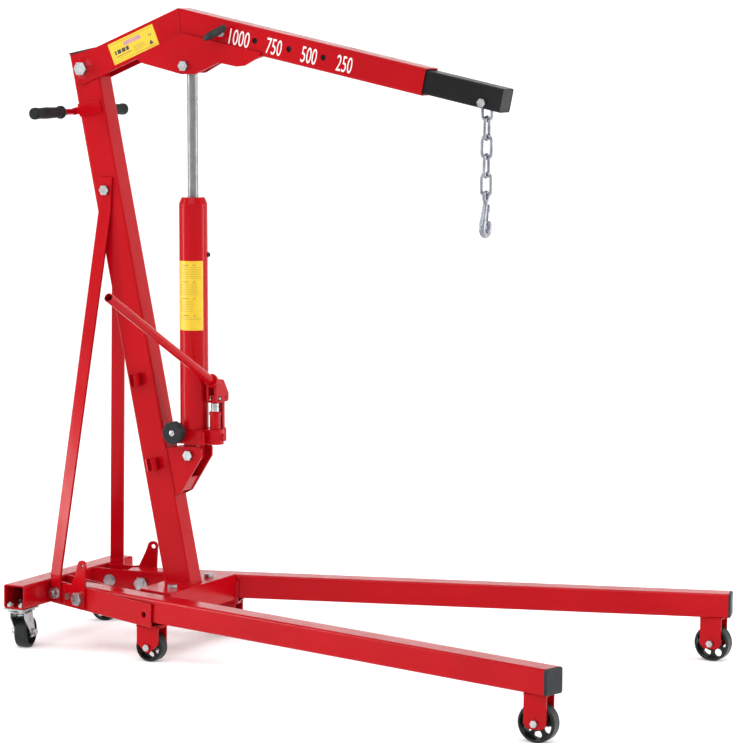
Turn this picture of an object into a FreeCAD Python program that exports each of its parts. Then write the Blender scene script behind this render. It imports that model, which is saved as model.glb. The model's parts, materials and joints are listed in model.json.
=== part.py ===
# Folding engine hoist: a splayed two-leg base on six wheels, a leaning mast with two braces,
# a cranked boom with a sliding extension, chain and hook, and a long hydraulic jack.
# Millimetres. X points along the legs, Y to the left, Z up, and the floor is Z = 0.
import FreeCAD, Part
import math
import os
import Sketcher
from FreeCAD import Placement, Rotation, Vector

document = FreeCAD.newDocument("engine_hoist")

# ---------------------------------------------------------------- driving dimensions
SIZES = [
    ("crossbar_front", -616.15, "X of the front face of the rear crossbar"),
    ("base_tube", 50.0, "side of the square tube of the crossbar and legs"),
    ("base_wall", 3.0, "wall of that tube"),
    ("tube_round", 5.0, "outer corner radius of the square tubes"),
    ("crossbar_length", 430.0, "rear crossbar, end to end"),
    ("crossbar_bottom", 88.0, "underside of the crossbar above the floor"),
    ("splay", 15.6, "angle of each leg from X, degrees"),
    ("leg_line", 82.0, "leg centre line from the middle, at the crossbar"),
    ("channel_width", 60.0, "outer width of a leg channel"),
    ("channel_height", 50.0, "height of a leg channel"),
    ("channel_wall", 3.0, "sheet of a leg channel"),
    ("channel_length", 311.0, "leg channel, along the leg"),
    ("channel_dip", 2.5, "slope of the channel down to the front, degrees"),
    ("heel_opening", 190.0, "part of the channel that has no floor"),
    ("leg_rise", 0.45, "slope of the leg up to the front, degrees"),
    ("leg_length", 1281.0, "leg tube, end to end"),
    ("leg_heel", 34.0, "leg tube behind its pivot"),
    ("pivot_along", 99.5, "leg pivot from the crossbar, along the leg"),
    ("pivot_height", 108.5, "leg pivot above the floor"),
    ("pivot_bolt", 16.0, "leg pivot and boom pivot bolt diameter"),
    ("pivot_bore", 16.1, "bore that turns on a pivot bolt"),
    ("lock_along", 289.5, "lock pin hole from the crossbar, along the leg"),
    ("lock_hole", 13.0, "lock pin hole diameter"),
    ("plate", 5.0, "thickness of the flat plates and braces"),
    ("frame_bolt", 12.0, "frame bolt diameter"),
    ("frame_bore", 12.2, "hole for a frame bolt"),
    ("small_bolt", 8.0, "small bolt diameter"),
    ("small_bore", 8.2, "hole for a small bolt"),
    ("slot_hole", 9.0, "hole at the top of a stow lug"),
    ("washer", 2.0, "washer thickness"),
    ("mast_depth", 63.0, "mast tube, front to back"),
    ("mast_width", 49.2, "mast tube, side to side"),
    ("mast_wall", 3.0, "wall of the mast tube"),
    ("mast_length", 1121.0, "mast along its centre line"),
    ("mast_foot_x", 254.4, "mast centre line at the foot, ahead of the crossbar"),
    ("mast_foot_z", 138.0, "top of the mast foot plate above the floor"),
    ("mast_lean", 12.19, "mast lean from upright, degrees"),
    ("boom_pivot_along", 1086.5, "boom pivot along the mast centre line"),
    ("brace_width", 29.0, "width of the brace flat bar"),
    ("boom_width", 55.0, "boom, side to side"),
    ("boom_depth", 55.0, "boom ahead of its bend, top to bottom"),
    ("boom_rear_depth", 58.5, "boom behind its bend, top to bottom"),
    ("boom_wall", 2.5, "boom sheet"),
    ("knee_x", 250.0, "top of the boom's bend, ahead of the crossbar"),
    ("knee_z", 1328.0, "top of the boom's bend above the floor"),
    ("rear_rise", 23.0, "slope of the boom behind the bend, degrees"),
    ("front_fall", 11.04, "slope of the boom ahead of the bend, degrees"),
    ("boom_front_length", 577.0, "boom ahead of the bend, along its top"),
    ("load_hole", 12.0, "load holes in the boom"),
    ("load_first", 109.0, "first load hole from the bend"),
    ("load_step", 80.0, "spacing of the load holes"),
    ("extension_tube", 47.5, "side of the sliding extension tube"),
    ("extension_reach", 171.7, "extension beyond the boom end"),
    ("extension_length", 668.0, "extension tube, end to end"),
    ("wire", 6.8, "chain wire diameter"),
    ("link_pitch", 37.2, "chain pitch, the inner length of a link"),
    ("link_width", 26.8, "chain link outer width"),
    ("front_wheel", 75.0, "front wheel diameter"),
    ("middle_wheel", 61.0, "middle wheel diameter"),
    ("caster_wheel", 65.0, "rear caster wheel diameter"),
    ("tread", 27.0, "width of every wheel"),
    ("axle", 10.0, "wheel axle diameter"),
    ("axle_bore", 10.1, "bore of every wheel"),
    ("fork_gap", 30.0, "between the cheeks of a wheel fork"),
    ("fork_sheet", 3.5, "sheet of the wheel forks"),
    ("jack_x", 280.0, "jack base pin ahead of the crossbar"),
    ("jack_z", 408.7, "jack base pin above the floor"),
    ("jack_lean", 0.8, "lean of the jack towards the mast, degrees"),
    ("jack_pin", 12.0, "jack pin diameter"),
    ("jack_bore", 12.1, "bore that turns on a jack pin"),
    ("jack_reach", 802.3, "jack base pin to rod pin"),
    ("cylinder_diameter", 59.0, "jack cylinder"),
    ("cylinder_bore", 46.0, "inside of the jack cylinder"),
    ("cylinder_bottom", 55.0, "bottom of the cylinder above the base pin"),
    ("cylinder_top", 514.0, "top of the cylinder above the base pin"),
    ("rod_diameter", 22.0, "jack piston rod"),
    ("rod_bore", 22.1, "hole in the cylinder head for the rod"),
    ("piston_diameter", 45.9, "piston on the rod"),
    ("pump_ahead", 49.0, "pump ahead of the jack centre line"),
    ("plunger_diameter", 16.0, "pump plunger"),
    ("plunger_bore", 16.1, "bore of the pump barrel"),
    ("barrel_diameter", 22.0, "pump barrel"),
    ("lever_offset", 27.0, "pump lever pivot beside the plunger"),
    ("bar_diameter", 18.0, "pump handle bar"),
    ("bar_length", 470.0, "pump handle bar"),
    ("bar_slope", 27.0, "pump handle bar above level, degrees"),
    ("handle_rod", 12.7, "push handle rod"),
    ("handle_span", 353.0, "push handle over the grips"),
    ("grip_length", 108.0, "length of a push handle grip"),
    ("grip_diameter", 24.5, "diameter of a push handle grip"),
    ("knob_diameter", 47.0, "jack release knob"),
]

sheet = document.addObject("Spreadsheet::Sheet", "Sizes")
for row, (alias, value, meaning) in enumerate(SIZES, start=1):
    sheet.set(f"A{row}", alias)
    sheet.set(f"B{row}", str(value))
    sheet.set(f"C{row}", meaning)
    sheet.setAlias(f"B{row}", alias)
document.recompute()

parts = []


def size(alias):
    """Value of one cell of the sheet."""
    return float(sheet.get(alias))


def cell(alias):
    """Expression that reads one cell of the sheet."""
    return f"Sizes.{alias}"


SIDES = {"left": 1, "right": -1}
FRONT_X = size("crossbar_front")
SPLAY = math.radians(size("splay"))
LEAN = math.radians(size("mast_lean"))
Y_AXIS = Vector(0, 1, 0)
Z_AXIS = Vector(0, 0, 1)
ALONG_Y = Rotation(Vector(1, 0, 0), -90)
ALONG_X = Rotation(Vector(0, 1, 0), 90)


def keep(feature, label):
    """Name a finished sub-part and add it to the object."""
    feature.Label = label
    parts.append(feature)
    return feature


def placed(x, y, z, rotation=Rotation()):
    """Placement of a point given ahead of the crossbar's front face."""
    return Placement(Vector(FRONT_X + x, y, z), rotation)


# ---------------------------------------------------------------- sketches and features
def new_body(label):
    body = document.addObject("PartDesign::Body", label)
    return keep(body, label)


def new_sketch(body, role, offset=0.0):
    """Sketch on one of the body's own origin planes, moved along the plane's normal."""
    plane = next(item for item in body.Origin.OriginFeatures if item.Role == role)
    sketch = body.newObject("Sketcher::SketchObject", f"{body.Name}_sketch")
    sketch.AttachmentSupport = (plane, [""])
    sketch.MapMode = "FlatFace"
    sketch.AttachmentOffset = Placement(Vector(0, 0, offset), Rotation())
    return sketch


def draw_rectangle(sketch, width, height):
    """Rectangle centred on the sketch origin; width and height are expressions."""
    corners = [(-10, -10), (10, -10), (10, 10), (-10, 10)]
    first = sketch.GeometryCount
    for index, corner in enumerate(corners):
        end = corners[(index + 1) % 4]
        sketch.addGeometry(Part.LineSegment(Vector(*corner, 0), Vector(*end, 0)), False)
    for index in range(4):
        following = (index + 1) % 4
        sketch.addConstraint(Sketcher.Constraint("Coincident", first + index, 2, first + following, 1))
        direction = "Horizontal" if index % 2 == 0 else "Vertical"
        sketch.addConstraint(Sketcher.Constraint(direction, first + index))
    sketch.addConstraint(Sketcher.Constraint("Symmetric", first, 1, first + 2, 1, -1, 1))
    wide = sketch.addConstraint(Sketcher.Constraint("DistanceX", first, 1, first, 2, 20.0))
    tall = sketch.addConstraint(Sketcher.Constraint("DistanceY", first + 1, 1, first + 1, 2, 20.0))
    sketch.setExpression(f"Constraints[{wide}]", width)
    sketch.setExpression(f"Constraints[{tall}]", height)


def draw_outline(sketch, points):
    """Closed outline of (x, y) points; a third number rounds that corner with a tangent arc."""
    count = len(points)
    stops = []
    for index, point in enumerate(points):
        here = Vector(point[0], point[1], 0)
        radius = point[2] if len(point) > 2 else 0.0
        if radius == 0.0:
            stops.append((here, here, None))
            continue
        before = Vector(*points[index - 1][:2], 0) - here
        after = Vector(*points[(index + 1) % count][:2], 0) - here
        before.normalize()
        after.normalize()
        half = before.getAngle(after) / 2
        middle = before + after
        middle.normalize()
        reach = radius / math.tan(half)
        crown = here + middle * (radius / math.sin(half) - radius)
        stops.append((here + before * reach, here + after * reach, crown))
    for index, (arrive, leave, crown) in enumerate(stops):
        if crown is not None:
            sketch.addGeometry(Part.Arc(arrive, crown, leave), False)
        target = stops[(index + 1) % count][0]
        if leave.distanceToPoint(target) > 1e-6:
            sketch.addGeometry(Part.LineSegment(leave, target), False)


def draw_circle(sketch, x, y, diameter):
    """Circle whose diameter is an expression."""
    circle = sketch.addGeometry(Part.Circle(Vector(x, y, 0), Z_AXIS, 3.0), False)
    ring = sketch.addConstraint(Sketcher.Constraint("Diameter", circle, 6.0))
    sketch.setExpression(f"Constraints[{ring}]", diameter)


def pad(body, sketch, length, symmetric=False):
    feature = body.newObject("PartDesign::Pad", f"{body.Name}_pad")
    feature.Profile = sketch
    feature.SideType = "Symmetric" if symmetric else "One side"
    feature.setExpression("Length", length)
    return feature


def pocket(body, sketch, symmetric=True):
    """Cut right through the body."""
    feature = body.newObject("PartDesign::Pocket", f"{body.Name}_pocket")
    feature.Profile = sketch
    feature.Type = "ThroughAll"
    feature.SideType = "Symmetric" if symmetric else "One side"
    return feature


def drill(body, role, circles, offset=0.0, symmetric=True):
    """Holes through the body: (x, y, diameter expression) in the plane of the given role."""
    sketch = new_sketch(body, role, offset)
    for x, y, diameter in circles:
        draw_circle(sketch, x, y, diameter)
    return pocket(body, sketch, symmetric)


def cut_outline(body, role, points):
    """Cut away an outline, right through the body both ways."""
    sketch = new_sketch(body, role)
    draw_outline(sketch, points)
    return pocket(body, sketch)


def round_edges(body, radius, chosen):
    """Fillet the edges of the body's last feature for which chosen(edge) is true."""
    document.recompute()
    feature = body.Tip
    names = [f"Edge{number}" for number, edge in enumerate(feature.Shape.Edges, start=1) if chosen(edge)]
    fillet = body.newObject("PartDesign::Fillet", f"{body.Name}_fillet")
    fillet.Base = (feature, names)
    fillet.setExpression("Radius", radius)
    return fillet


def square_tube(body, role, width, height, wall, length, symmetric=False, offset=0.0):
    """Square tube along the normal of a plane, with its four outer corners rounded."""
    sketch = new_sketch(body, role, offset)
    draw_rectangle(sketch, cell(width), cell(height))
    draw_rectangle(sketch, f"{cell(width)} - 2 * {cell(wall)}", f"{cell(height)} - 2 * {cell(wall)}")
    pad(body, sketch, length, symmetric)
    document.recompute()
    box = body.Tip.Shape.BoundBox
    spans = {"XY_Plane": (0, 1, 2), "XZ_Plane": (0, 2, 1), "YZ_Plane": (1, 2, 0)}
    across, up, along = spans[role]
    low = (box.XMin, box.YMin, box.ZMin)
    high = (box.XMax, box.YMax, box.ZMax)

    def is_outer_corner(edge):
        start = edge.Vertexes[0].Point
        end = edge.Vertexes[-1].Point
        long_edge = abs(start[along] - end[along]) > 1.0
        on_side = min(abs(start[across] - low[across]), abs(start[across] - high[across])) < 0.01
        on_top = min(abs(start[up] - low[up]), abs(start[up] - high[up])) < 0.01
        return long_edge and on_side and on_top

    round_edges(body, cell("tube_round"), is_outer_corner)


def flat_plate(name, outline, centre_y, circles=()):
    """Plate in the XZ plane, centred on centre_y, with round holes; it becomes one solid of a group."""
    body = document.addObject("PartDesign::Body", name)
    sketch = new_sketch(body, "XZ_Plane", -centre_y)
    draw_outline(sketch, outline)
    for x, z, diameter in circles:
        draw_circle(sketch, x, z, diameter)
    pad(body, sketch, cell("plate"), symmetric=True)
    return body


# ---------------------------------------------------------------- Part primitives
def cylinder(radius, height, placement=Placement()):
    """Part cylinder; radius and height are expressions."""
    feature = document.addObject("Part::Cylinder", "cylinder")
    feature.setExpression("Radius", radius)
    feature.setExpression("Height", height)
    feature.Placement = placement
    return feature


def box(length, width, height, corner, rotation=Rotation()):
    """Part box; its three sizes are expressions and corner is its low corner."""
    feature = document.addObject("Part::Box", "box")
    feature.setExpression("Length", length)
    feature.setExpression("Width", width)
    feature.setExpression("Height", height)
    feature.Placement = Placement(Vector(*corner), rotation)
    return feature


def cone(bottom, top, height, placement=Placement()):
    feature = document.addObject("Part::Cone", "cone")
    feature.setExpression("Radius1", bottom)
    feature.setExpression("Radius2", top)
    feature.setExpression("Height", height)
    feature.Placement = placement
    return feature


def hexagon(across_flats, height, placement=Placement()):
    """Hexagonal prism, as a bolt head or nut."""
    feature = document.addObject("Part::Prism", "hexagon")
    feature.Polygon = 6
    feature.setExpression("Circumradius", f"({across_flats}) / sqrt(3)")
    feature.setExpression("Height", height)
    feature.Placement = placement
    return feature


def ring(radius, wire_radius, angle, placement=Placement()):
    """Torus, or the part of one that its angle gives."""
    feature = document.addObject("Part::Torus", "ring")
    feature.setExpression("Radius1", radius)
    feature.setExpression("Radius2", wire_radius)
    feature.Angle3 = angle
    feature.Placement = placement
    return feature


def fused(pieces):
    feature = document.addObject("Part::MultiFuse", "fused")
    feature.Shapes = pieces
    feature.Refine = True
    return feature


def removed(base, tools):
    feature = document.addObject("Part::Cut", "cut")
    feature.Base = base
    feature.Tool = tools[0] if len(tools) == 1 else fused(tools)
    feature.Refine = True
    return feature


def group(label, pieces, placement=Placement()):
    """Separate solids that share one node."""
    feature = document.addObject("Part::Compound", label)
    feature.Links = pieces
    feature.Placement = placement
    return keep(feature, label)


def lift(z, rotation=Rotation()):
    return Placement(Vector(0, 0, z), rotation)


def bolt(diameter, grip, placement, nut=True, washers=False, wide=1.6):
    """Hex bolt along local +Z: the head ends at 0 and the nut starts at the grip length."""
    across = f"{diameter} * {wide}"
    head = f"{diameter} * 0.62"
    thick = f"{diameter} * 0.8"
    head_height = size(diameter.split(".")[1]) * 0.62
    pieces = [hexagon(across, head, lift(-head_height))]
    tail = grip
    if washers:
        washer = size("washer")
        pieces[0].Placement = lift(-head_height - washer)
        pieces.append(cylinder(f"{diameter} * 1.05", cell("washer"), lift(-washer)))
    if nut:
        start = grip + (size("washer") if washers else 0.0)
        pieces.append(hexagon(across, thick, lift(start)))
        tail = start + size(diameter.split(".")[1]) * 0.8 + 3.0
        if washers:
            pieces.append(cylinder(f"{diameter} * 1.05", cell("washer"), lift(grip)))
    drop = size("washer") if washers else 0.0
    pieces.append(cylinder(f"{diameter} / 2", f"{tail + drop}", lift(-drop)))
    whole = fused(pieces)
    whole.Placement = placement
    return whole


# ---------------------------------------------------------------- frames of the base
def channel_placement(side):
    """Frame of a channel at the crossbar, on its underside: X along the leg, Z up."""
    turn = Rotation(Z_AXIS, side * size("splay")).multiply(Rotation(Y_AXIS, size("channel_dip")))
    return placed(0, side * size("leg_line"), size("crossbar_bottom"), turn)


def on_leg_line(x):
    """Distance of the leg's centre line from the middle, at x ahead of the crossbar."""
    return size("leg_line") + x * math.tan(SPLAY)


# Height of the leg pivot in the channel's own frame.
DIP = math.radians(size("channel_dip"))
PIVOT_DROP = size("pivot_along") * math.sin(DIP)
CHANNEL_AXIS = (size("pivot_height") - size("crossbar_bottom") + PIVOT_DROP) / math.cos(DIP)
OUTER_FACE = size("channel_width") / 2
BRACE_BOLT_ALONG = 28.0
LUG_BOLT_ALONG = 67.0
LEG_TILT = Rotation(Y_AXIS, -size("channel_dip") - size("leg_rise"))


def leg_placement(side):
    """Frame of a leg at its pivot: X along the leg's own centre line."""
    pivot = Placement(Vector(size("pivot_along"), 0, CHANNEL_AXIS), LEG_TILT)
    return channel_placement(side).multiply(pivot)


def lock_hole_in_leg():
    """The channel's lock pin hole, seen in the leg's frame."""
    ahead = size("lock_along") - size("pivot_along")
    above = size("channel_height") / 2 - CHANNEL_AXIS
    spot = LEG_TILT.inverted().multVec(Vector(ahead, 0, above))
    return spot.x, spot.z


# ---------------------------------------------------------------- base
def make_crossbar():
    body = new_body("rear_crossbar")
    square_tube(body, "XZ_Plane", "base_tube", "base_tube", "base_wall", cell("crossbar_length"), True)
    drill(body, "XY_Plane", [(x, y, cell("small_bore")) for x, y in caster_bolt_places()], symmetric=False)
    middle = size("base_tube") / 2
    body.Placement = placed(-middle, 0, size("crossbar_bottom") + middle)


CASTER_INSET = 27.0
CASTER_BOLT_X = 14.0
CASTER_BOLT_Y = 19.0


def caster_bolt_places():
    """Bolts of both casters about the middle of the crossbar."""
    end = size("crossbar_length") / 2 - CASTER_INSET
    return [(x, side * end + y)
            for side in SIDES.values()
            for x in (-CASTER_BOLT_X, CASTER_BOLT_X)
            for y in (-CASTER_BOLT_Y, CASTER_BOLT_Y)]


def make_channel(name, side):
    """Open-topped channel that holds a leg, cut to meet the crossbar."""
    body = new_body(f"leg_channel_{name}")
    width = size("channel_width")
    height = size("channel_height")
    wall = size("channel_wall")
    overrun = 20.0
    sketch = new_sketch(body, "YZ_Plane", -overrun)
    inner = width / 2 - wall
    draw_outline(sketch, [(-width / 2, height), (-width / 2, 0, 5), (width / 2, 0, 5), (width / 2, height),
                          (inner, height), (inner, wall, 2), (-inner, wall, 2), (-inner, height)])
    pad(body, sketch, f"{cell('channel_length')} + {overrun}")
    heel = size("heel_opening")
    floor = new_sketch(body, "XY_Plane", height / 2)
    draw_outline(floor, [(-2 * overrun, -inner), (heel, -inner), (heel, inner), (-2 * overrun, inner)])
    pocket(body, floor, symmetric=False)
    seam_gap = 0.3
    slant = side * math.tan(SPLAY)
    cut_outline(body, "XY_Plane", [(-50, -40), (-40 * slant + seam_gap, -40),
                                   (40 * slant + seam_gap, 40), (-50, 40)])
    drill(body, "XZ_Plane", [(BRACE_BOLT_ALONG, CHANNEL_AXIS, cell("frame_bore")),
                             (size("pivot_along"), CHANNEL_AXIS, cell("pivot_bore")),
                             (size("lock_along"), height / 2, cell("lock_hole"))])
    body.Placement = channel_placement(side)


def make_stow_lugs():
    """Plate on the outside of each channel, with a tongue that holds the folded leg."""
    outline = [(54, 3, 3), (115, 3, 3), (115, 106, 10), (95, 106, 10), (88, 82), (75, 51), (54, 48, 3)]
    circles = [(size("pivot_along"), CHANNEL_AXIS, cell("pivot_bore")),
               (LUG_BOLT_ALONG, CHANNEL_AXIS, cell("small_bore")),
               (105, 95, cell("slot_hole"))]
    lugs = []
    for side in SIDES.values():
        centre = side * (OUTER_FACE + size("plate") / 2)
        lug = flat_plate("stow_lug", outline, centre, circles)
        lug.Placement = channel_placement(side)
        lugs.append(lug)
    group("stow_lugs", lugs)


FOOT_REAR = 216.0
FOOT_FRONT = 303.0
FOOT_BOTTOM = 84.0
FOOT_FLANGE = 4.0
FOOT_BOLT = (272.0, 75.0)


def make_mast_foot():
    """Cross plate under the mast, folded down in front and behind, between the two channels."""
    body = new_body("mast_foot")
    reach = -OUTER_FACE / math.cos(SPLAY) - 0.3
    rear = on_leg_line(FOOT_REAR) + reach
    front = on_leg_line(FOOT_FRONT) + reach
    sketch = new_sketch(body, "XY_Plane", FOOT_BOTTOM)
    draw_outline(sketch, [(FOOT_REAR, -rear), (FOOT_FRONT, -front), (FOOT_FRONT, front), (FOOT_REAR, rear)])
    pad(body, sketch, f"{cell('mast_foot_z')} - {FOOT_BOTTOM}")
    under = size("mast_foot_z") - size("plate")
    cut_outline(body, "XZ_Plane", [(FOOT_REAR + FOOT_FLANGE, FOOT_BOTTOM - 5),
                                   (FOOT_FRONT - FOOT_FLANGE, FOOT_BOTTOM - 5),
                                   (FOOT_FRONT - FOOT_FLANGE, under, 4),
                                   (FOOT_REAR + FOOT_FLANGE, under, 4)])
    x, y = FOOT_BOLT
    drill(body, "XY_Plane", [(x, -y, cell("frame_bore")), (x, y, cell("frame_bore"))])
    body.Placement = placed(0, 0, 0)


def fork(name, height, axle_height, half_length, placement, pointed):
    """Inverted U of sheet that holds a wheel; its top is at z = height and the wheel turns about Y."""
    body = document.addObject("PartDesign::Body", name)
    sheet_thickness = size("fork_sheet")
    inner = size("fork_gap") / 2
    outer = inner + sheet_thickness
    bottom = axle_height - 11.0
    sketch = new_sketch(body, "YZ_Plane")
    draw_outline(sketch, [(-outer, bottom), (-inner, bottom), (-inner, height - sheet_thickness, 2),
                          (inner, height - sheet_thickness, 2), (inner, bottom), (outer, bottom),
                          (outer, height, 4), (-outer, height, 4)])
    pad(body, sketch, f"{2 * half_length}", symmetric=True)
    shoulder = axle_height + 7.0
    clip = 9.0
    for sign in (-1, 1):
        outside = sign * (half_length + 5)
        edge = sign * half_length
        if pointed:
            points = [(outside, bottom - 5), (0, bottom - 5), (0, bottom), (sign * 4, bottom),
                      (edge, shoulder), (outside, shoulder)]
        else:
            points = [(outside, bottom - 5), (edge - sign * clip, bottom - 5), (edge - sign * clip, bottom),
                      (edge, bottom + clip), (outside, bottom + clip)]
        cut_outline(body, "XZ_Plane", points)
    drill(body, "XZ_Plane", [(0, axle_height, cell("axle"))])
    body.Placement = placement
    return body


def axle_bolt(placement):
    """Axle through a fork: head and nut outside the cheeks."""
    outer = size("fork_gap") / 2 + size("fork_sheet")
    start = placement.multiply(Placement(Vector(0, -outer - 0.1, 0), ALONG_Y))
    return bolt(cell("axle"), 2 * outer + 0.2, start, wide=1.3)


def wheel(label, diameter, hub, placement, turn=0.0):
    """Moulded wheel about local Y: a tyre with round shoulders, a dished web with holes, and a hub."""
    tread = size("tread")
    radius = size(diameter) / 2
    web_depth = 11.0
    inset = 5.5
    tyre = cylinder(f"{cell(diameter)} / 2", cell("tread"), lift(-tread / 2))
    tyre_rim = document.addObject("Part::Fillet", "tyre_rim")
    document.recompute()
    tyre_rim.Base = tyre
    circles = [number for number, edge in enumerate(tyre.Shape.Edges, start=1)
               if edge.Curve.TypeId == "Part::GeomCircle"]
    tyre_rim.Edges = [(number, 3.5, 3.5) for number in circles]
    tools = [cylinder(f"{cell('axle_bore')} / 2", cell("tread"), lift(-tread / 2))]
    for start in (-tread / 2, tread / 2 - web_depth):
        dish = cylinder(f"{cell(diameter)} / 2 - {inset}", f"{web_depth}", lift(start))
        boss = cylinder(f"{hub}", f"{web_depth}", lift(start))
        tools.append(removed(dish, [boss]))
    hole_radius = (radius - inset - hub) * 0.47
    for number in range(6):
        angle = math.radians(60 * number + 30 + turn)
        middle = (radius - inset + hub) / 2
        spot = Vector(middle * math.cos(angle), middle * math.sin(angle), -tread / 2)
        tools.append(cylinder(f"{hole_radius}", cell("tread"), Placement(spot, Rotation())))
    finished = removed(tyre_rim, tools)
    finished.Placement = placement.multiply(Placement(Vector(0, 0, 0), ALONG_Y))
    return keep(finished, label)


FRONT_WHEEL_X = 1267.5
MIDDLE_WHEEL_X = 273.0
# Each wheel has stopped at its own angle; this is how far its holes stand from one another's.
WHEEL_TURN = {"left": 30.0, "right": 0.0}
FRONT_FORK_TOP = 92.6
MIDDLE_FORK_TOP = 74.2


def make_leg(name, side):
    """Leg tube with its end cap, fork, axle and front wheel."""
    body = new_body(f"leg_{name}")
    heel = size("leg_heel")
    square_tube(body, "YZ_Plane", "base_tube", "base_tube", "base_wall", cell("leg_length"), offset=-heel)
    drill(body, "XZ_Plane", [(0, 0, cell("pivot_bore")),
                             (*lock_hole_in_leg(), cell("lock_hole"))])
    body.Placement = leg_placement(side)
    end = size("leg_length") - heel
    cap = new_body(f"leg_cap_{name}")
    flange = new_sketch(cap, "YZ_Plane", end)
    corner = size("base_tube") / 2
    draw_outline(flange, [(-corner, -corner, size("tube_round")), (corner, -corner, size("tube_round")),
                          (corner, corner, size("tube_round")), (-corner, corner, size("tube_round"))])
    pad(cap, flange, "5")
    plug = new_sketch(cap, "YZ_Plane", end - 15)
    inner = f"{cell('base_tube')} - 2 * {cell('base_wall')} - 0.4"
    draw_rectangle(plug, inner, inner)
    pad(cap, plug, "15")
    far_end = end + 4.9

    def is_front_rim(edge):
        return all(vertex.Point.x > far_end for vertex in edge.Vertexes)

    round_edges(cap, "3.5", is_front_rim)
    cap.Placement = leg_placement(side)
    spot = placed(FRONT_WHEEL_X, side * on_leg_line(FRONT_WHEEL_X), 0)
    radius = size("front_wheel") / 2
    keep(fork("front_fork", FRONT_FORK_TOP, radius, 23.0, spot, pointed=False), f"front_fork_{name}")
    hub = spot.multiply(lift(radius))
    group(f"front_axle_{name}", [axle_bolt(hub)])
    wheel(f"front_wheel_{name}", "front_wheel", 15.0, hub, WHEEL_TURN[name])


def make_middle_wheels():
    forks = []
    axles = []
    for name, side in SIDES.items():
        spot = placed(MIDDLE_WHEEL_X, side * on_leg_line(MIDDLE_WHEEL_X), 0)
        radius = size("middle_wheel") / 2
        forks.append(fork("middle_fork", MIDDLE_FORK_TOP, radius, 25.0, spot, pointed=True))
        hub = spot.multiply(lift(radius))
        axles.append(axle_bolt(hub))
        wheel(f"middle_wheel_{name}", "middle_wheel", 10.5, hub, WHEEL_TURN[name])
    group("middle_forks", forks)
    return axles


CASTER_PLATE = 3.0
CASTER_PLATE_LENGTH = 62.0
CASTER_PLATE_WIDTH = 48.0
CASTER_STEM = 7.0
CASTER_TRAIL = 24.0
CASTER_TURN = {"left": 218.0, "right": 101.0}


def caster_centre(side):
    return Vector(-size("base_tube") / 2, side * (size("crossbar_length") / 2 - CASTER_INSET), 0)


def make_casters():
    """Two swivel casters: a top plate bolted to the crossbar, and a fork that turns on its stem."""
    top = size("crossbar_bottom") - 0.1
    plates = []
    bolts = []
    for name, side in SIDES.items():
        centre = caster_centre(side)
        base = placed(centre.x, centre.y, top - CASTER_PLATE)
        slab = box(f"{CASTER_PLATE_WIDTH}", f"{CASTER_PLATE_LENGTH}", f"{CASTER_PLATE}",
                   (-CASTER_PLATE_WIDTH / 2, -CASTER_PLATE_LENGTH / 2, 0))
        cup = cylinder("15", "5", lift(-5))
        stem = cylinder(f"{CASTER_STEM}", "14", lift(-14))
        washer = cylinder(f"{CASTER_STEM} + 4", "2", lift(-14))
        holes = [cylinder(f"{cell('small_bore')} / 2", "10",
                          Placement(Vector(x, y, -3), Rotation()))
                 for x in (-CASTER_BOLT_X, CASTER_BOLT_X) for y in (-CASTER_BOLT_Y, CASTER_BOLT_Y)]
        seat = removed(fused([slab, cup, stem, washer]), holes)
        seat.Placement = base
        plates.append(seat)
        for x in (-CASTER_BOLT_X, CASTER_BOLT_X):
            for y in (-CASTER_BOLT_Y, CASTER_BOLT_Y):
                spot = placed(centre.x + x, centre.y + y, top - CASTER_PLATE - 0.1)
                bolts.append(bolt(cell("small_bolt"), CASTER_PLATE + size("base_wall") + 0.2, spot))
        swivel = placed(centre.x, centre.y, 0, Rotation(Z_AXIS, CASTER_TURN[name]))
        make_caster_fork(name, swivel, top - CASTER_PLATE - 5.1)
        radius = size("caster_wheel") / 2
        hub = swivel.multiply(Placement(Vector(CASTER_TRAIL, 0, radius), Rotation()))
        wheel(f"caster_wheel_{name}", "caster_wheel", 11.0, hub, WHEEL_TURN[name])
    group("caster_plates", plates)
    return bolts


def make_caster_fork(name, swivel, top):
    """Zinc fork of a caster with its axle; it leans back so that the wheel trails."""
    body = document.addObject("PartDesign::Body", f"caster_yoke_{name}")
    gauge = 2.5
    inner = size("fork_gap") / 2
    outer = inner + gauge
    axle_height = size("caster_wheel") / 2
    bottom = axle_height - 10
    sketch = new_sketch(body, "YZ_Plane", -20)
    draw_outline(sketch, [(-outer, bottom), (-inner, bottom), (-inner, top - gauge, 2), (inner, top - gauge, 2),
                          (inner, bottom), (outer, bottom), (outer, top, 4), (-outer, top, 4)])
    pad(body, sketch, "56")
    cut_outline(body, "XZ_Plane", [(-25, bottom - 5), (-25, top - 12), (-20, top - 12),
                                   (CASTER_TRAIL - 10, bottom + 4), (CASTER_TRAIL - 10, bottom - 5)])
    cut_outline(body, "XZ_Plane", [(40, bottom - 5), (40, top + 5), (20, top + 5), (20, top - 3),
                                   (CASTER_TRAIL + 10, bottom + 8), (CASTER_TRAIL + 10, bottom - 5)])
    drill(body, "XZ_Plane", [(CASTER_TRAIL, axle_height, cell("axle"))])
    drill(body, "XY_Plane", [(0, 0, f"{2 * (CASTER_STEM + 0.05)}")], top - 10)
    pin = axle_bolt(Placement(Vector(CASTER_TRAIL, 0, axle_height), Rotation()))
    group(f"caster_fork_{name}", [body, pin], swivel)


# ---------------------------------------------------------------- mast
def mast_point(along, forward=0.0):
    """Point on the mast's centre line, at a length from its foot and a distance ahead of the line."""
    x = size("mast_foot_x") - along * math.sin(LEAN) + forward * math.cos(LEAN)
    z = size("mast_foot_z") + along * math.cos(LEAN) + forward * math.sin(LEAN)
    return x, z


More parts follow.
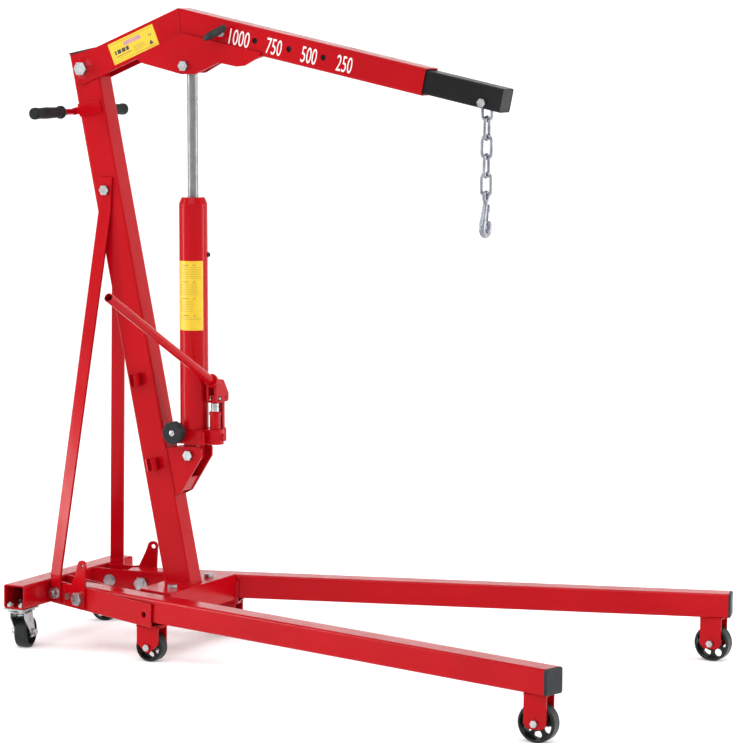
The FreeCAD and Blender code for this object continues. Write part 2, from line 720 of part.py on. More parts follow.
MAST_TURN = Rotation(Y_AXIS, -size("mast_lean"))
BRACE_BOLT_ON_MAST = 830.7
HANDLE_ON_MAST = 1004.5
HANDLE_BEHIND = 14.0


def mast_placement():
    return placed(size("mast_foot_x"), 0, size("mast_foot_z"), MAST_TURN)


def make_mast():
    body = new_body("mast")
    overrun = 20.0
    square_tube(body, "XY_Plane", "mast_depth", "mast_width", "mast_wall",
                f"{cell('mast_length')} + {overrun}", offset=-overrun)
    slope = math.tan(LEAN)
    cut_outline(body, "XZ_Plane", [(-60, 60 * slope), (60, -60 * slope), (60, -60), (-60, -60)])
    drill(body, "XZ_Plane", [(0, size("boom_pivot_along"), cell("pivot_bore")),
                             (0, BRACE_BOLT_ON_MAST, cell("frame_bore"))])
    body.Placement = mast_placement()
    cap = new_body("mast_cap")
    lid = new_sketch(cap, "XY_Plane", size("mast_length"))
    draw_rectangle(lid, f"{cell('mast_depth')} + 2", cell("mast_width"))
    pad(cap, lid, "4")
    document.recompute()

    def is_upright(edge):
        start = edge.Vertexes[0].Point
        end = edge.Vertexes[-1].Point
        return abs(start.z - end.z) > 1.0

    round_edges(cap, cell("tube_round"), is_upright)
    plug = new_sketch(cap, "XY_Plane", size("mast_length") - 12)
    draw_rectangle(plug, f"{cell('mast_depth')} - 2 * {cell('mast_wall')} - 0.4",
                   f"{cell('mast_width')} - 2 * {cell('mast_wall')} - 0.4")
    pad(cap, plug, "12")
    cap.Placement = mast_placement()


def make_push_handle():
    """Round bar behind the mast, held by a plate on each side of it, with a grip on each end."""
    gauge = 2.0
    tall = 27.0
    tail = 15.0
    half_depth = size("mast_depth") / 2
    half_width = size("mast_width") / 2
    plates = []
    for y in (-half_width - gauge, half_width):
        plates.append(box(f"{2 * half_depth - 8}", f"{gauge}", f"{tall}",
                          (-half_depth, y, HANDLE_ON_MAST - tall / 2)))
        plates.append(box(f"{HANDLE_BEHIND + 3}", f"{gauge}", f"{tail}",
                          (-half_depth - HANDLE_BEHIND, y, HANDLE_ON_MAST - tail / 2)))
    length = size("handle_span") - 8
    rod = cylinder(f"{cell('handle_rod')} / 2", f"{cell('handle_span')} - 8",
                   Placement(Vector(-half_depth - HANDLE_BEHIND, -length / 2, HANDLE_ON_MAST), ALONG_Y))
    handle = fused([*plates, rod])
    handle.Placement = mast_placement()
    keep(handle, "push_handle")
    group("handle_grips", [make_grip(side, -half_depth - HANDLE_BEHIND) for side in SIDES.values()])


def make_grip(side, x):
    """Moulded grip: a closed sleeve with a bead at each end and a slight waist between them."""
    outer = size("grip_diameter") / 2
    length = size("grip_length")
    profile = document.addObject("PartDesign::Body", "handle_grip")
    bore = size("handle_rod") / 2 + 0.05
    sketch = new_sketch(profile, "XZ_Plane")
    blind = 3.9
    draw_outline(sketch, [(0, length), (0, length - blind), (bore, length - blind), (bore, 0),
                          (outer - 2, 0, 1), (outer + 1.4, 4, 1), (outer + 1.4, 8, 1), (outer - 1.6, 11, 3),
                          (outer - 0.2, length * 0.55, 60), (outer - 1.2, length - 16, 6),
                          (outer, length - 11, 3), (outer, length, 2.5)])
    turned = profile.newObject("PartDesign::Revolution", f"{profile.Name}_turned")
    turned.Profile = sketch
    axis = next(item for item in profile.Origin.OriginFeatures if item.Role == "Z_Axis")
    turned.ReferenceAxis = (axis, [""])
    turned.Angle = 360
    start = side * (size("handle_span") / 2 - length)
    turn = ALONG_Y if side > 0 else Rotation(Vector(1, 0, 0), 90)
    offset = Placement(Vector(x, start, HANDLE_ON_MAST), turn)
    profile.Placement = mast_placement().multiply(offset)
    return profile


def make_handle_clips():
    """Two spring clips on the right side of the mast that store the pump handle."""
    inner = size("bar_diameter") / 2 + 0.6
    gauge = 2.5
    tall = 26.0
    clips = []
    for along, forward in ((432.0, -7.0), (253.0, -2.0)):
        shell = cylinder(f"{inner + gauge}", f"{tall}")
        hollow = cylinder(f"{inner}", f"{tall}")
        mouth = box(f"{inner}", f"{2 * inner + 8}", f"{tall}", (-inner / 2, -2 * inner - 8 - inner / 3, 0))
        clip = removed(shell, [hollow, mouth])
        spot = Vector(forward, -size("mast_width") / 2 - inner - gauge, along - tall / 2)
        clip.Placement = mast_placement().multiply(Placement(spot, Rotation()))
        clips.append(clip)
    group("handle_clips", clips)


def brace_section(x, y, z, turn):
    """Horizontal section of the brace flat bar."""
    sketch = document.addObject("Sketcher::SketchObject", "brace_section")
    draw_rectangle(sketch, cell("brace_width"), cell("plate"))
    sketch.Placement = placed(x, y, z, Rotation(Z_AXIS, turn))
    return sketch


def make_brace(name, side):
    """Flat bar from the mast to the channel, bent at both ends and twisted to lie on the channel."""
    half = size("mast_width") / 2 + size("plate") / 2 + 0.1
    bolt_x, bolt_z = mast_point(BRACE_BOLT_ON_MAST)
    off = OUTER_FACE + size("plate") / 2 + 0.1
    foot_x = BRACE_BOLT_ALONG * math.cos(SPLAY) - off * math.sin(SPLAY)
    foot_y = size("leg_line") + BRACE_BOLT_ALONG * math.sin(SPLAY) + off * math.cos(SPLAY)
    sections = [brace_section(bolt_x + 1.0, side * half, bolt_z + 27, 0),
                brace_section(bolt_x - 2.0, side * half, bolt_z - 44, 0),
                brace_section(foot_x, side * foot_y, 150, side * size("splay")),
                brace_section(foot_x, side * foot_y, 92, side * size("splay"))]
    bar = document.addObject("Part::Loft", f"brace_bar_{name}")
    bar.Sections = sections
    bar.Solid = True
    bar.Ruled = True
    upper = cylinder(f"{cell('frame_bore')} / 2", "200", placed(bolt_x, -100, bolt_z, ALONG_Y))
    local = Placement(Vector(BRACE_BOLT_ALONG, -100, CHANNEL_AXIS), ALONG_Y)
    lower = cylinder(f"{cell('frame_bore')} / 2", "200", channel_placement(side).multiply(local))
    keep(removed(bar, [upper, lower]), f"brace_{name}")


def make_frame_bolts(more_bolts):
    """Bolts of the fixed frame: braces, stow lugs and mast foot, with those of the wheels."""
    bolts = list(more_bolts)
    bolt_x, bolt_z = mast_point(BRACE_BOLT_ON_MAST)
    half = size("mast_width") / 2 + size("plate") + 0.2
    bolts.append(bolt(cell("frame_bolt"), 2 * half, placed(bolt_x, -half, bolt_z, ALONG_Y)))
    for side in SIDES.values():
        frame = channel_placement(side)
        outward = ALONG_Y if side > 0 else Rotation(Vector(1, 0, 0), 90)
        inside = -side * (OUTER_FACE + 0.1)
        grip = size("channel_width") + size("plate") + 0.4
        seat = Placement(Vector(BRACE_BOLT_ALONG, inside, CHANNEL_AXIS), outward)
        bolts.append(bolt(cell("frame_bolt"), grip, frame.multiply(seat), washers=True))
        inward = Rotation(Vector(1, 0, 0), 90) if side > 0 else ALONG_Y
        face = side * (OUTER_FACE + size("plate") + 0.1)
        rivet = Placement(Vector(LUG_BOLT_ALONG, face, CHANNEL_AXIS), inward)
        bolts.append(bolt(cell("small_bolt"), size("plate") - 0.1, frame.multiply(rivet), nut=False))
        x, y = FOOT_BOLT
        down = placed(x, side * y, size("mast_foot_z") + 0.1, Rotation(Vector(1, 0, 0), 180))
        bolts.append(bolt(cell("frame_bolt"), size("plate") + 0.2, down))
    group("frame_bolts", bolts)


def make_pivot_bolts():
    """Bolts that the legs, the boom and the jack turn on; all are held by the frame."""
    bolts = []
    for side in SIDES.values():
        inward = Rotation(Vector(1, 0, 0), 90) if side > 0 else ALONG_Y
        face = side * (OUTER_FACE + size("plate") + 0.1)
        seat = Placement(Vector(size("pivot_along"), face, CHANNEL_AXIS), inward)
        grip = size("channel_width") + size("plate") + 0.2
        bolts.append(bolt(cell("pivot_bolt"), grip, channel_placement(side).multiply(seat)))
    face = size("boom_width") / 2 + BOSS_HEIGHT + 0.1
    bolts.append(bolt(cell("pivot_bolt"), 2 * face, placed(BOOM_PIVOT[0], -face, BOOM_PIVOT[1], ALONG_Y)))
    face = size("mast_width") / 2 + 0.1
    bolts.append(bolt(cell("jack_pin"), 2 * face, placed(size("jack_x"), -face, size("jack_z"), ALONG_Y)))
    group("pivot_bolts", bolts)


# ---------------------------------------------------------------- boom
BOOM_PIVOT = mast_point(size("boom_pivot_along"))
REAR_SLOPE = math.radians(size("rear_rise"))
FRONT_SLOPE = math.radians(size("front_fall"))
KNEE = (size("knee_x"), size("knee_z"))
BOSS_HEIGHT = 7.0


def knee_bottom():
    """Where the undersides of the two straights of the boom meet."""
    rear_z = KNEE[1] - size("boom_rear_depth") / math.cos(REAR_SLOPE)
    front_z = KNEE[1] - size("boom_depth") / math.cos(FRONT_SLOPE)
    ahead = (front_z - rear_z) / (math.tan(REAR_SLOPE) + math.tan(FRONT_SLOPE))
    return KNEE[0] + ahead, rear_z + ahead * math.tan(REAR_SLOPE)


def make_boom_rear():
    """Cheeks that straddle the mast, joined along the top, with a raised boss round the pivot."""
    body = document.addObject("PartDesign::Body", "boom_cheeks")
    low = knee_bottom()
    notch_x = 52.0
    notch_z = KNEE[1] - (KNEE[0] - notch_x) * math.tan(REAR_SLOPE)
    heel_x = 23.0
    heel_z = low[1] - (low[0] - heel_x) * math.tan(REAR_SLOPE) - 1.0
    sketch = new_sketch(body, "XZ_Plane")
    draw_outline(sketch, [(notch_x, notch_z), KNEE, low, (heel_x, heel_z), (7, heel_z + 1.5, 8), (-8, 1226)])
    pad(body, sketch, cell("boom_width"), symmetric=True)
    wall = size("boom_wall")
    top_x = notch_x + wall
    top_z = notch_z - wall / math.cos(REAR_SLOPE)
    hollow = new_sketch(body, "XZ_Plane")
    draw_outline(hollow, [(-60, 1100), (300, 1100), (300, top_z + (300 - top_x) * math.tan(REAR_SLOPE)),
                          (top_x, top_z + 1.0), (top_x, 1340), (-60, 1340)])
    cut = body.newObject("PartDesign::Pocket", "boom_rear_hollow")
    cut.Profile = hollow
    cut.Type = "Length"
    cut.SideType = "Symmetric"
    cut.setExpression("Length", f"{cell('boom_width')} - 2 * {cell('boom_wall')}")
    drill(body, "XZ_Plane", [(*BOOM_PIVOT, cell("pivot_bore"))])
    body.Placement = placed(0, 0, 0)
    bosses = []
    for side in SIDES.values():
        outward = ALONG_Y if side > 0 else Rotation(Vector(1, 0, 0), 90)
        spot = placed(BOOM_PIVOT[0], side * size("boom_width") / 2, BOOM_PIVOT[1], outward)
        raised = document.addObject("Part::Loft", "pivot_boss")
        raised.Sections = [octagon(24.0, 0, spot), octagon(13.5, BOSS_HEIGHT, spot)]
        raised.Solid = True
        raised.Ruled = True
        bore = cylinder(f"{cell('pivot_bore')} / 2", f"{BOSS_HEIGHT + 2}", spot.multiply(lift(-1)))
        bosses.append(removed(raised, [bore]))
    group("boom_rear", [body, *bosses])


def octagon(radius, height, placement):
    """Eight-sided ring of points at a height above the placement."""
    feature = document.addObject("Part::RegularPolygon", "octagon")
    feature.Polygon = 8
    feature.Circumradius = radius
    feature.Placement = placement.multiply(lift(height, Rotation(Z_AXIS, 22.5)))
    return feature


def boom_placement():
    """Frame of the straight front of the boom: X along it, origin at the top of the bend."""
    return placed(KNEE[0], 0, KNEE[1], Rotation(Y_AXIS, size("front_fall")))


def make_boom_front():
    body = new_body("boom_front")
    depth = size("boom_depth")
    square_tube(body, "YZ_Plane", "boom_width", "boom_depth", "boom_wall", cell("boom_front_length"))
    half = depth / 2
    low = knee_bottom()
    seam = (low[0] - KNEE[0]) * math.cos(FRONT_SLOPE) + (KNEE[1] - low[1]) * math.sin(FRONT_SLOPE)
    gap = 0.05
    cut_outline(body, "XZ_Plane", [(-5, half + 5), (gap, half + 5), (gap, half), (seam + gap, -half),
                                   (seam + gap, -half - 5), (-5, -half - 5)])
    first = size("load_first")
    step = size("load_step")
    drill(body, "XZ_Plane", [(first + number * step, 0, cell("load_hole")) for number in range(4)])
    body.Placement = boom_placement().multiply(Placement(Vector(0, 0, -half), Rotation()))


def make_ram_bracket():
    """Two gusset plates under the bend; the rod pin passes through both."""
    low = knee_bottom()
    pin_x, pin_z = rod_pin()
    side_face = size("boom_width") / 2 + size("plate") / 2 + 0.05
    lap = 8.0
    rear_x = 150.0
    rear_z = low[1] - (low[0] - rear_x) * math.tan(REAR_SLOPE) + lap - 3
    front_x = 446.0
    front_z = low[1] - (front_x - low[0]) * math.tan(FRONT_SLOPE)
    top = [(rear_x, rear_z), (low[0], low[1] + lap), (front_x, front_z + lap)]
    foot = pin_z - 17.0
    near = top[:1] + [(166, 1215), (pin_x - 8, foot, 6), (pin_x + 27, foot + 1, 10), (349, 1219, 4), (391, 1212),
                      (409, 1214, 6), (front_x, front_z)] + top[:0:-1]
    far = top[:1] + [(166, 1216), (pin_x - 12, foot + 2, 6), (pin_x + 14, foot + 2, 10), (327, 1220, 4),
                     (372, 1215, 6), (422, 1233), (422, front_z + lap + 4)] + top[1:2]
    plates = []
    pin_hole = [(pin_x, pin_z, cell("frame_bore"))]
    for outline, centre in ((near, -side_face), (far, side_face)):
        plates.append(flat_plate("ram_plate", outline, centre, pin_hole))
    group("ram_bracket", plates, placed(0, 0, 0))
    stubs = []
    reach = side_face + size("plate") / 2 + 0.1
    for side in SIDES.values():
        inward = Rotation(Vector(1, 0, 0), 90) if side > 0 else ALONG_Y
        start = placed(pin_x, side * reach, pin_z, inward)
        stubs.append(bolt(cell("jack_pin"), size("plate") + 0.2, start))
    group("rod_pin_bolts", stubs)


def make_extension():
    body = new_body("boom_extension")
    length = size("extension_length")
    end = size("boom_front_length") + size("extension_reach")
    square_tube(body, "YZ_Plane", "extension_tube", "extension_tube", "base_wall",
                cell("extension_length"), offset=end - length)
    hook_x = hook_bolt_along()
    drop = hook_bolt_below()
    drill(body, "XZ_Plane", [(size("load_first"), 0, cell("load_hole")), (hook_x, -drop, cell("axle"))])
    slot = new_sketch(body, "XY_Plane")
    draw_outline(slot, [(hook_x - 19, -9, 4), (hook_x + 19, -9, 4), (hook_x + 19, 9, 4), (hook_x - 19, 9, 4)])
    pocket(body, slot, symmetric=False)
    centre = boom_placement().multiply(Placement(Vector(0, 0, -size("boom_depth") / 2), Rotation()))
    body.Placement = centre
    cap = new_body("extension_cap")
    lid = new_sketch(cap, "YZ_Plane", end - 3.2)
    inner = f"{cell('extension_tube')} - 2 * {cell('base_wall')} - 0.3"
    draw_rectangle(lid, inner, inner)
    pad(cap, lid, "3")
    cap.Placement = centre
    half = size("extension_tube") / 2 + 0.1
    seat = Placement(Vector(hook_x, -half, -drop), ALONG_Y)
    group("hook_bolt", [bolt(cell("axle"), 2 * half, centre.multiply(seat))])


HOOK_X = 938.0
HOOK_Z = 1153.0


def hook_bolt_along():
    """Hook bolt along the boom from the bend."""
    return (HOOK_X - KNEE[0]) * math.cos(FRONT_SLOPE) + (KNEE[1] - HOOK_Z) * math.sin(FRONT_SLOPE)


def hook_bolt_below():
    """Hook bolt below the centre line of the extension."""
    below_top = (KNEE[1] - HOOK_Z) * math.cos(FRONT_SLOPE) - (HOOK_X - KNEE[0]) * math.sin(FRONT_SLOPE)
    return below_top - size("boom_depth") / 2


def make_lock_pin():
    """Pin in the first load hole with a T bar, and the grip moulded over the bar."""
    half = size("boom_width") / 2
    middle = Placement(Vector(size("load_first"), 0, -size("boom_depth") / 2), ALONG_Y)
    frame = boom_placement().multiply(middle)
    inside = size("extension_tube") / 2 + 0.6
    stand_off = 22.0
    reach = half + stand_off
    bar_length = 44.0
    shank = cylinder("5.9", f"{reach - inside}", Placement(Vector(0, 0, -reach), Rotation()))
    collar = cylinder("9", "3", Placement(Vector(0, 0, -half - 3.2), Rotation()))
    tilt = math.radians(38.0)
    aim = Rotation(Z_AXIS, Vector(math.cos(tilt), -math.sin(tilt), 0))
    along_bar = Placement(Vector(0, 0, -reach), aim)
    bar = cylinder("3.5", f"{bar_length}", along_bar.multiply(lift(-bar_length / 2)))
    pin = fused([shank, collar, bar])
    pin.Placement = frame
    keep(pin, "lock_pin")
    low_end = -29.0
    swell = cone("5", "8", "13", along_bar.multiply(lift(low_end)))
    sleeve = cone("8", "7", "36", along_bar.multiply(lift(low_end + 13)))
    end = along_bar.multiply(lift(low_end + 49))
    round_end = removed(ball("7", end.Base), [cylinder("12", "12", end.multiply(lift(-12)))])
    bar_room = cylinder("3.55", f"{bar_length} + 0.1", along_bar.multiply(lift(-bar_length / 2 - 0.05)))
    shank_room = cylinder("5.95", "20", Placement(Vector(0, 0, -reach - 0.05), Rotation()))
    grip = removed(fused([swell, sleeve, round_end]), [bar_room, shank_room])
    grip.Placement = frame
    keep(grip, "lock_pin_grip")


# ---------------------------------------------------------------- chain and hook
LINKS = 5


def chain_link(label, top_z, turn):
    """Welded link hanging upright; top_z is the centre of its upper bend's wire."""
    wire = f"{cell('wire')} / 2"
    bend = f"({cell('link_width')} - {cell('wire')}) / 2"
    radius = (size("link_width") - size("wire")) / 2
    straight = size("link_pitch") + size("wire") - 2 * radius
    upper = ring(bend, wire, 180, Placement(Vector(0, 0, -radius), Rotation(Vector(1, 0, 0), 90)))
    lower = ring(bend, wire, 180, Placement(Vector(0, 0, -radius - straight), Rotation(Vector(1, 0, 0), -90)))
    sides = [cylinder(wire, f"{straight}", Placement(Vector(x, 0, -radius - straight), Rotation()))
             for x in (-radius, radius)]
    link = fused([upper, lower, *sides])
    link.Placement = placed(HOOK_X, 0, top_z, Rotation(Z_AXIS, turn))
    keep(link, label)


def chain_top(number):
    """Centre of the upper wire of a link, the first one being number 0."""
    play = 0.3
    rest = HOOK_Z + size("axle") / 2 + size("wire") / 2 + play
    return rest - number * (size("link_pitch") - play)


def make_chain():
    for number in range(LINKS):
        chain_link(f"chain_link_{number + 1}", chain_top(number), 90 * (number % 2))


def make_hook():
    """Forged hook: an eye, a shank, and a bowl that opens towards +Y, with a lug for its latch."""
    eye_radius = 9.0
    eye_wire = 3.6
    play = 0.3
    last_link_end = chain_top(LINKS - 1) - size("link_pitch") - size("wire")
    eye_z = last_link_end + size("wire") / 2 + eye_wire + play - eye_radius
    bowl_radius = 15.0
    bowl_z = -60.6
    thick = 6.5
    eye = ring(f"{eye_radius}", f"{eye_wire}", 360, Placement(Vector(0, 0, 0), ALONG_X))
    start_angle = 155.0
    sweep = 215.0
    bowl = ring(f"{bowl_radius}", f"{thick}", sweep, Placement(Vector(0, 0, bowl_z), bowl_turn(start_angle)))
    start = bowl_point(bowl_radius, bowl_z, start_angle)
    shank_top = Vector(0, -0.5, -eye_radius - 2)
    shank_line = shank_top - start
    shank = cone(f"{thick}", f"{eye_wire + 1}", f"{shank_line.Length}",
                 Placement(start, Rotation(Z_AXIS, shank_line)))
    tip_at = bowl_point(bowl_radius, bowl_z, start_angle + sweep)
    tip = cone(f"{thick}", "3.2", "9", Placement(tip_at, Rotation(Z_AXIS, Vector(0, 0.25, 1))))
    joints = [ball(f"{thick}", start), ball(f"{thick}", tip_at), ball(f"{eye_wire + 1}", shank_top)]
    y, z = LATCH_PIVOT
    lug = box("4", f"{y}", "7", (-2, 0, z - 3.5))
    lug_end = cylinder("3.5", "4", Placement(Vector(-2, y, z), ALONG_X))
    lug_bore = cylinder("1.55", "8", Placement(Vector(-4, y, z), ALONG_X))
    hook = removed(fused([eye, shank, bowl, tip, lug, lug_end, *joints]), [lug_bore])
    hook.Placement = placed(HOOK_X, 0, eye_z)
    keep(hook, "load_hook")
    make_latch(eye_z)


def bowl_turn(start_angle):
    """Lays a ring in the YZ plane so that it starts at an angle from +Y."""
    return Rotation(Vector(1, 0, 0), start_angle).multiply(Rotation(Vector(1, 1, 1), 120))


def bowl_point(radius, z, angle):
    turned = math.radians(angle)
    return Vector(0, radius * math.cos(turned), z + radius * math.sin(turned))


def ball(radius, centre):
    feature = document.addObject("Part::Sphere", "ball")
    feature.setExpression("Radius", radius)
    feature.Placement = Placement(centre, Rotation())
    return feature


LATCH_PIVOT = (9.0, -18.5)


def make_latch(eye_z):
    """Latch across the mouth of the hook: two ears on a pin through the hook's lug, and a tongue."""
    y, z = LATCH_PIVOT
    pin = cylinder("1.5", "9", Placement(Vector(-4.5, y, z), ALONG_X))
    ears = [box("1.8", "5", "13", (x, y - 2.5, z - 11)) for x in (-4.3, 2.5)]
    bridge = box("8.6", "2.4", "7", (-4.3, y - 1.2, z - 11.5))
    tongue = box("6", "2", "23", (-3, -1.0, -23), Rotation())
    tongue.Placement = Placement(Vector(-3, y - 1.0, z - 9.5), Rotation(Vector(1, 0, 0), -11)).multiply(
        Placement(Vector(0, 0, -22), Rotation()))
    latch = fused([pin, *ears, bridge, tongue])
    latch.Placement = placed(HOOK_X, 0, eye_z)
    keep(latch, "hook_latch")


# ---------------------------------------------------------------- jack
JACK_TURN = Rotation(Y_AXIS, -size("jack_lean"))
BASE_BLOCK_BOTTOM = 24.0
LEVER_PIVOT_UP = 119.0
BLOCK_HALF_WIDTH = 27.0
JACK_LUG_HALF = 19.0
KNOB_AXIS = (-20.0, 49.0)


def rod_pin():
    """Pin at the top of the piston rod."""
    lean = math.radians(size("jack_lean"))
    reach = size("jack_reach")
    return size("jack_x") - reach * math.sin(lean), size("jack_z") + reach * math.cos(lean)


def jack_placement():
    return placed(size("jack_x"), 0, size("jack_z"), JACK_TURN)


def make_jack_bracket():
    """Two triangular plates and a web on the front of the mast, round the jack's base pin."""
    pin_x = size("jack_x")
    pin_z = size("jack_z")
    thickness = size("plate")
    centre = (size("mast_width") - thickness) / 2

    def mast_front(z):
        along = (z - size("mast_foot_z")) / math.cos(LEAN)
        front = size("mast_depth") / 2 / math.cos(LEAN)
        return size("mast_foot_x") - along * math.sin(LEAN) + front + 0.1

    outline = [(mast_front(420), 420), (pin_x - 14, pin_z + 18), (pin_x + 14, pin_z + 19, 8),
               (pin_x + 29, pin_z + 18, 5), (pin_x + 29, pin_z - 3, 8), (262, 330, 6), (mast_front(322), 322)]
    plates = []
    pin_hole = [(pin_x, pin_z, cell("frame_bore"))]
    for side in SIDES.values():
        plates.append(flat_plate("jack_plate", outline, side * centre, pin_hole))
    web_width = size("mast_width") - 2 * thickness - 0.1
    web = box("4", f"{web_width}", "34", (258, -web_width / 2, 334), Rotation(Y_AXIS, 30))
    group("jack_bracket", [*plates, web], placed(0, 0, 0))


def make_jack_base():
    """Cast base: block under the cylinder, round pump housing, link ear, and a lug for the base pin."""
    low = BASE_BLOCK_BOTTOM
    height = size("cylinder_bottom") - low
    pump_x = size("pump_ahead")
    block = box("61", f"{2 * BLOCK_HALF_WIDTH}", f"{height}", (-27, -BLOCK_HALF_WIDTH, low))
    neck = box("26", "32", f"{height}", (24, -16, low))
    housing = cylinder("18", f"{height}", Placement(Vector(pump_x, 0, low), Rotation()))
    ear = box("12", "36", f"{height - 3}", (pump_x - 6, 0, low + 3))
    lug = box("30", f"{2 * JACK_LUG_HALF}", f"{low}", (-15, -JACK_LUG_HALF, 0))
    eye = cylinder("15", f"{2 * JACK_LUG_HALF}", Placement(Vector(0, -JACK_LUG_HALF, 0), ALONG_Y))
    valve_pad = box("18", "4", f"{height - 4}", (22, -BLOCK_HALF_WIDTH - 4, low))
    valve_screw = cylinder("4.5", "3", Placement(Vector(31, -BLOCK_HALF_WIDTH - 6, low + 17), ALONG_Y))
    side_screw = hexagon("13", "9", Placement(Vector(pump_x + 14, 0, low + 15), ALONG_X))
    bore = cylinder(f"{cell('jack_bore')} / 2", "60", Placement(Vector(0, -30, 0), ALONG_Y))
    stem_hole = cylinder("5.05", "20", Placement(Vector(KNOB_AXIS[0], -BLOCK_HALF_WIDTH - 1, KNOB_AXIS[1]), ALONG_Y))
    well = cylinder(f"{cell('plunger_bore')} / 2", "20", Placement(Vector(pump_x, 0, 38), Rotation()))
    solids = [block, neck, housing, ear, lug, eye, valve_pad, valve_screw, side_screw]
    base = removed(fused(solids), [bore, stem_hole, well])
    base.Placement = jack_placement()
    keep(base, "jack_base")


def make_cylinder():
    """Jack cylinder and the head nut that guides the rod."""
    low = size("cylinder_bottom")
    high = size("cylinder_top")
    outer = cylinder(f"{cell('cylinder_diameter')} / 2", f"{cell('cylinder_top')} - {cell('cylinder_bottom')}",
                     lift(low))
    inner = cylinder(f"{cell('cylinder_bore')} / 2", f"{cell('cylinder_top')} - {cell('cylinder_bottom')}",
                     lift(low))
    barrel = removed(outer, [inner])
    barrel.Placement = jack_placement()
    keep(barrel, "jack_cylinder")
    shoulder = 6.0
    taper = 13.0
    flat = cylinder(f"{cell('cylinder_diameter')} / 2", f"{shoulder}", lift(high))
    slope = cone(f"{cell('cylinder_diameter')} / 2", f"{cell('cylinder_diameter')} / 2 - 5.5", f"{taper}",
                 lift(high + shoulder))
    spigot = cylinder(f"{cell('cylinder_bore')} / 2 - 0.05", "24", lift(high - 24))
    guide = cylinder(f"{cell('rod_bore')} / 2", "60", lift(high - 30))
    head = removed(fused([flat, slope, spigot]), [guide])
    head.Placement = jack_placement()
    keep(head, "jack_head_nut")


def make_piston_rod():
    """Rod with its piston below and a flat eye above."""
    reach = size("jack_reach")
    piston_low = 232.0
    rod = cylinder(f"{cell('rod_diameter')} / 2", f"{cell('jack_reach')} - {piston_low} - 8", lift(piston_low))
    piston = cylinder(f"{cell('piston_diameter')} / 2", "22", lift(piston_low))
    eye = cylinder("15", "24", Placement(Vector(0, -12, reach), ALONG_Y))
    bore = cylinder(f"{cell('jack_bore')} / 2", "40", Placement(Vector(0, -20, reach), ALONG_Y))
    groove_up = 726.0
    groove = removed(cylinder("14", "4", lift(groove_up)),
                     [cylinder(f"{cell('rod_diameter')} / 2 - 0.8", "4", lift(groove_up))])
    whole = removed(fused([rod, piston, eye]), [bore, groove])
    whole.Placement = jack_placement()
    keep(whole, "piston_rod")


def make_pump():
    """Pump barrel, plunger, link, lever socket and the handle bar in it."""
    x = size("pump_ahead")
    low = size("cylinder_bottom")
    outer = cylinder(f"{cell('barrel_diameter')} / 2", "37", Placement(Vector(x, 0, low), Rotation()))
    lip = cylinder(f"{cell('barrel_diameter')} / 2 + 1.5", "5", Placement(Vector(x, 0, low + 30), Rotation()))
    hollow = cylinder(f"{cell('plunger_bore')} / 2", "60", Placement(Vector(x, 0, low - 5), Rotation()))
    barrel = removed(fused([outer, lip]), [hollow])
    barrel.Placement = jack_placement()
    keep(barrel, "pump_barrel")
    bottom = low + 4.0
    stem = cylinder(f"{cell('plunger_diameter')} / 2", f"{LEVER_PIVOT_UP - 10.5 - bottom}",
                    Placement(Vector(x, 0, bottom), Rotation()))
    tongue = box("12", "12", "18", (x - 6, -6, LEVER_PIVOT_UP - 11))
    pin = cylinder("3", "24", Placement(Vector(x - 12, 0, LEVER_PIVOT_UP), ALONG_X))
    plunger = fused([stem, tongue, pin])
    plunger.Placement = jack_placement()
    keep(plunger, "pump_plunger")
    offset = size("lever_offset")
    post = box("10", "9", f"{LEVER_PIVOT_UP - low}", (x - 5, offset - 4.5, low + 0.1))
    knuckle = cylinder("6", "10", Placement(Vector(x - 5, offset, LEVER_PIVOT_UP), ALONG_X))
    shaft = cylinder("4", "31", Placement(Vector(x - 18, offset, LEVER_PIVOT_UP), ALONG_X))
    link = fused([post, knuckle, shaft])
    link.Placement = jack_placement()
    keep(link, "pump_link")
    make_pump_lever(x, offset)


def make_pump_lever(x, offset):
    """Two cheeks on the link pin that carry the socket; the bar pushes into the socket."""
    slope = math.radians(size("bar_slope"))
    mouth = Vector(x, -17.0, LEVER_PIVOT_UP + 39.0)
    aim = Rotation(Z_AXIS, Vector(0, -math.cos(slope), math.sin(slope)))
    depth = 30.0
    cheeks = []
    for edge in (x - 12.0, x + 7.0):
        body = document.addObject("PartDesign::Body", "lever_cheek")
        sketch = new_sketch(body, "YZ_Plane", edge + 2.5)
        up = LEVER_PIVOT_UP
        draw_outline(sketch, [(offset + 9, up - 8, 6), (offset + 9, up + 9, 6), (16, up + 38, 8), (-10, up + 42, 8),
                              (-15, up + 26, 4), (-14, up - 9, 6)])
        draw_circle(sketch, offset, up, "8.1")
        draw_outline(sketch, [(-10, up - 4.5, 4.4), (6, up - 4.5, 4.4), (6, up + 4.5, 4.4), (-10, up + 4.5, 4.4)])
        pad(body, sketch, "5", symmetric=True)
        cheeks.append(body)
    bottom = Placement(mouth, aim).multiply(lift(-depth))
    tube = cylinder("13", f"{depth}", bottom)
    bead = cylinder("14.5", "5", Placement(mouth, aim).multiply(lift(-5)))
    hollow = cylinder(f"{cell('bar_diameter')} / 2 + 0.1", f"{depth}", bottom.multiply(lift(4)))
    socket = removed(fused([*cheeks, tube, bead]), [hollow])
    socket.Placement = jack_placement()
    keep(socket, "pump_lever_socket")
    seat = bottom.multiply(lift(4.1))
    rod = cylinder(f"{cell('bar_diameter')} / 2", cell("bar_length"), seat)
    bore = cylinder(f"{cell('bar_diameter')} / 2 - 1.5", cell("bar_length"), seat)
    bar = removed(rod, [bore])
    bar.Placement = jack_placement()
    keep(bar, "pump_handle_bar")


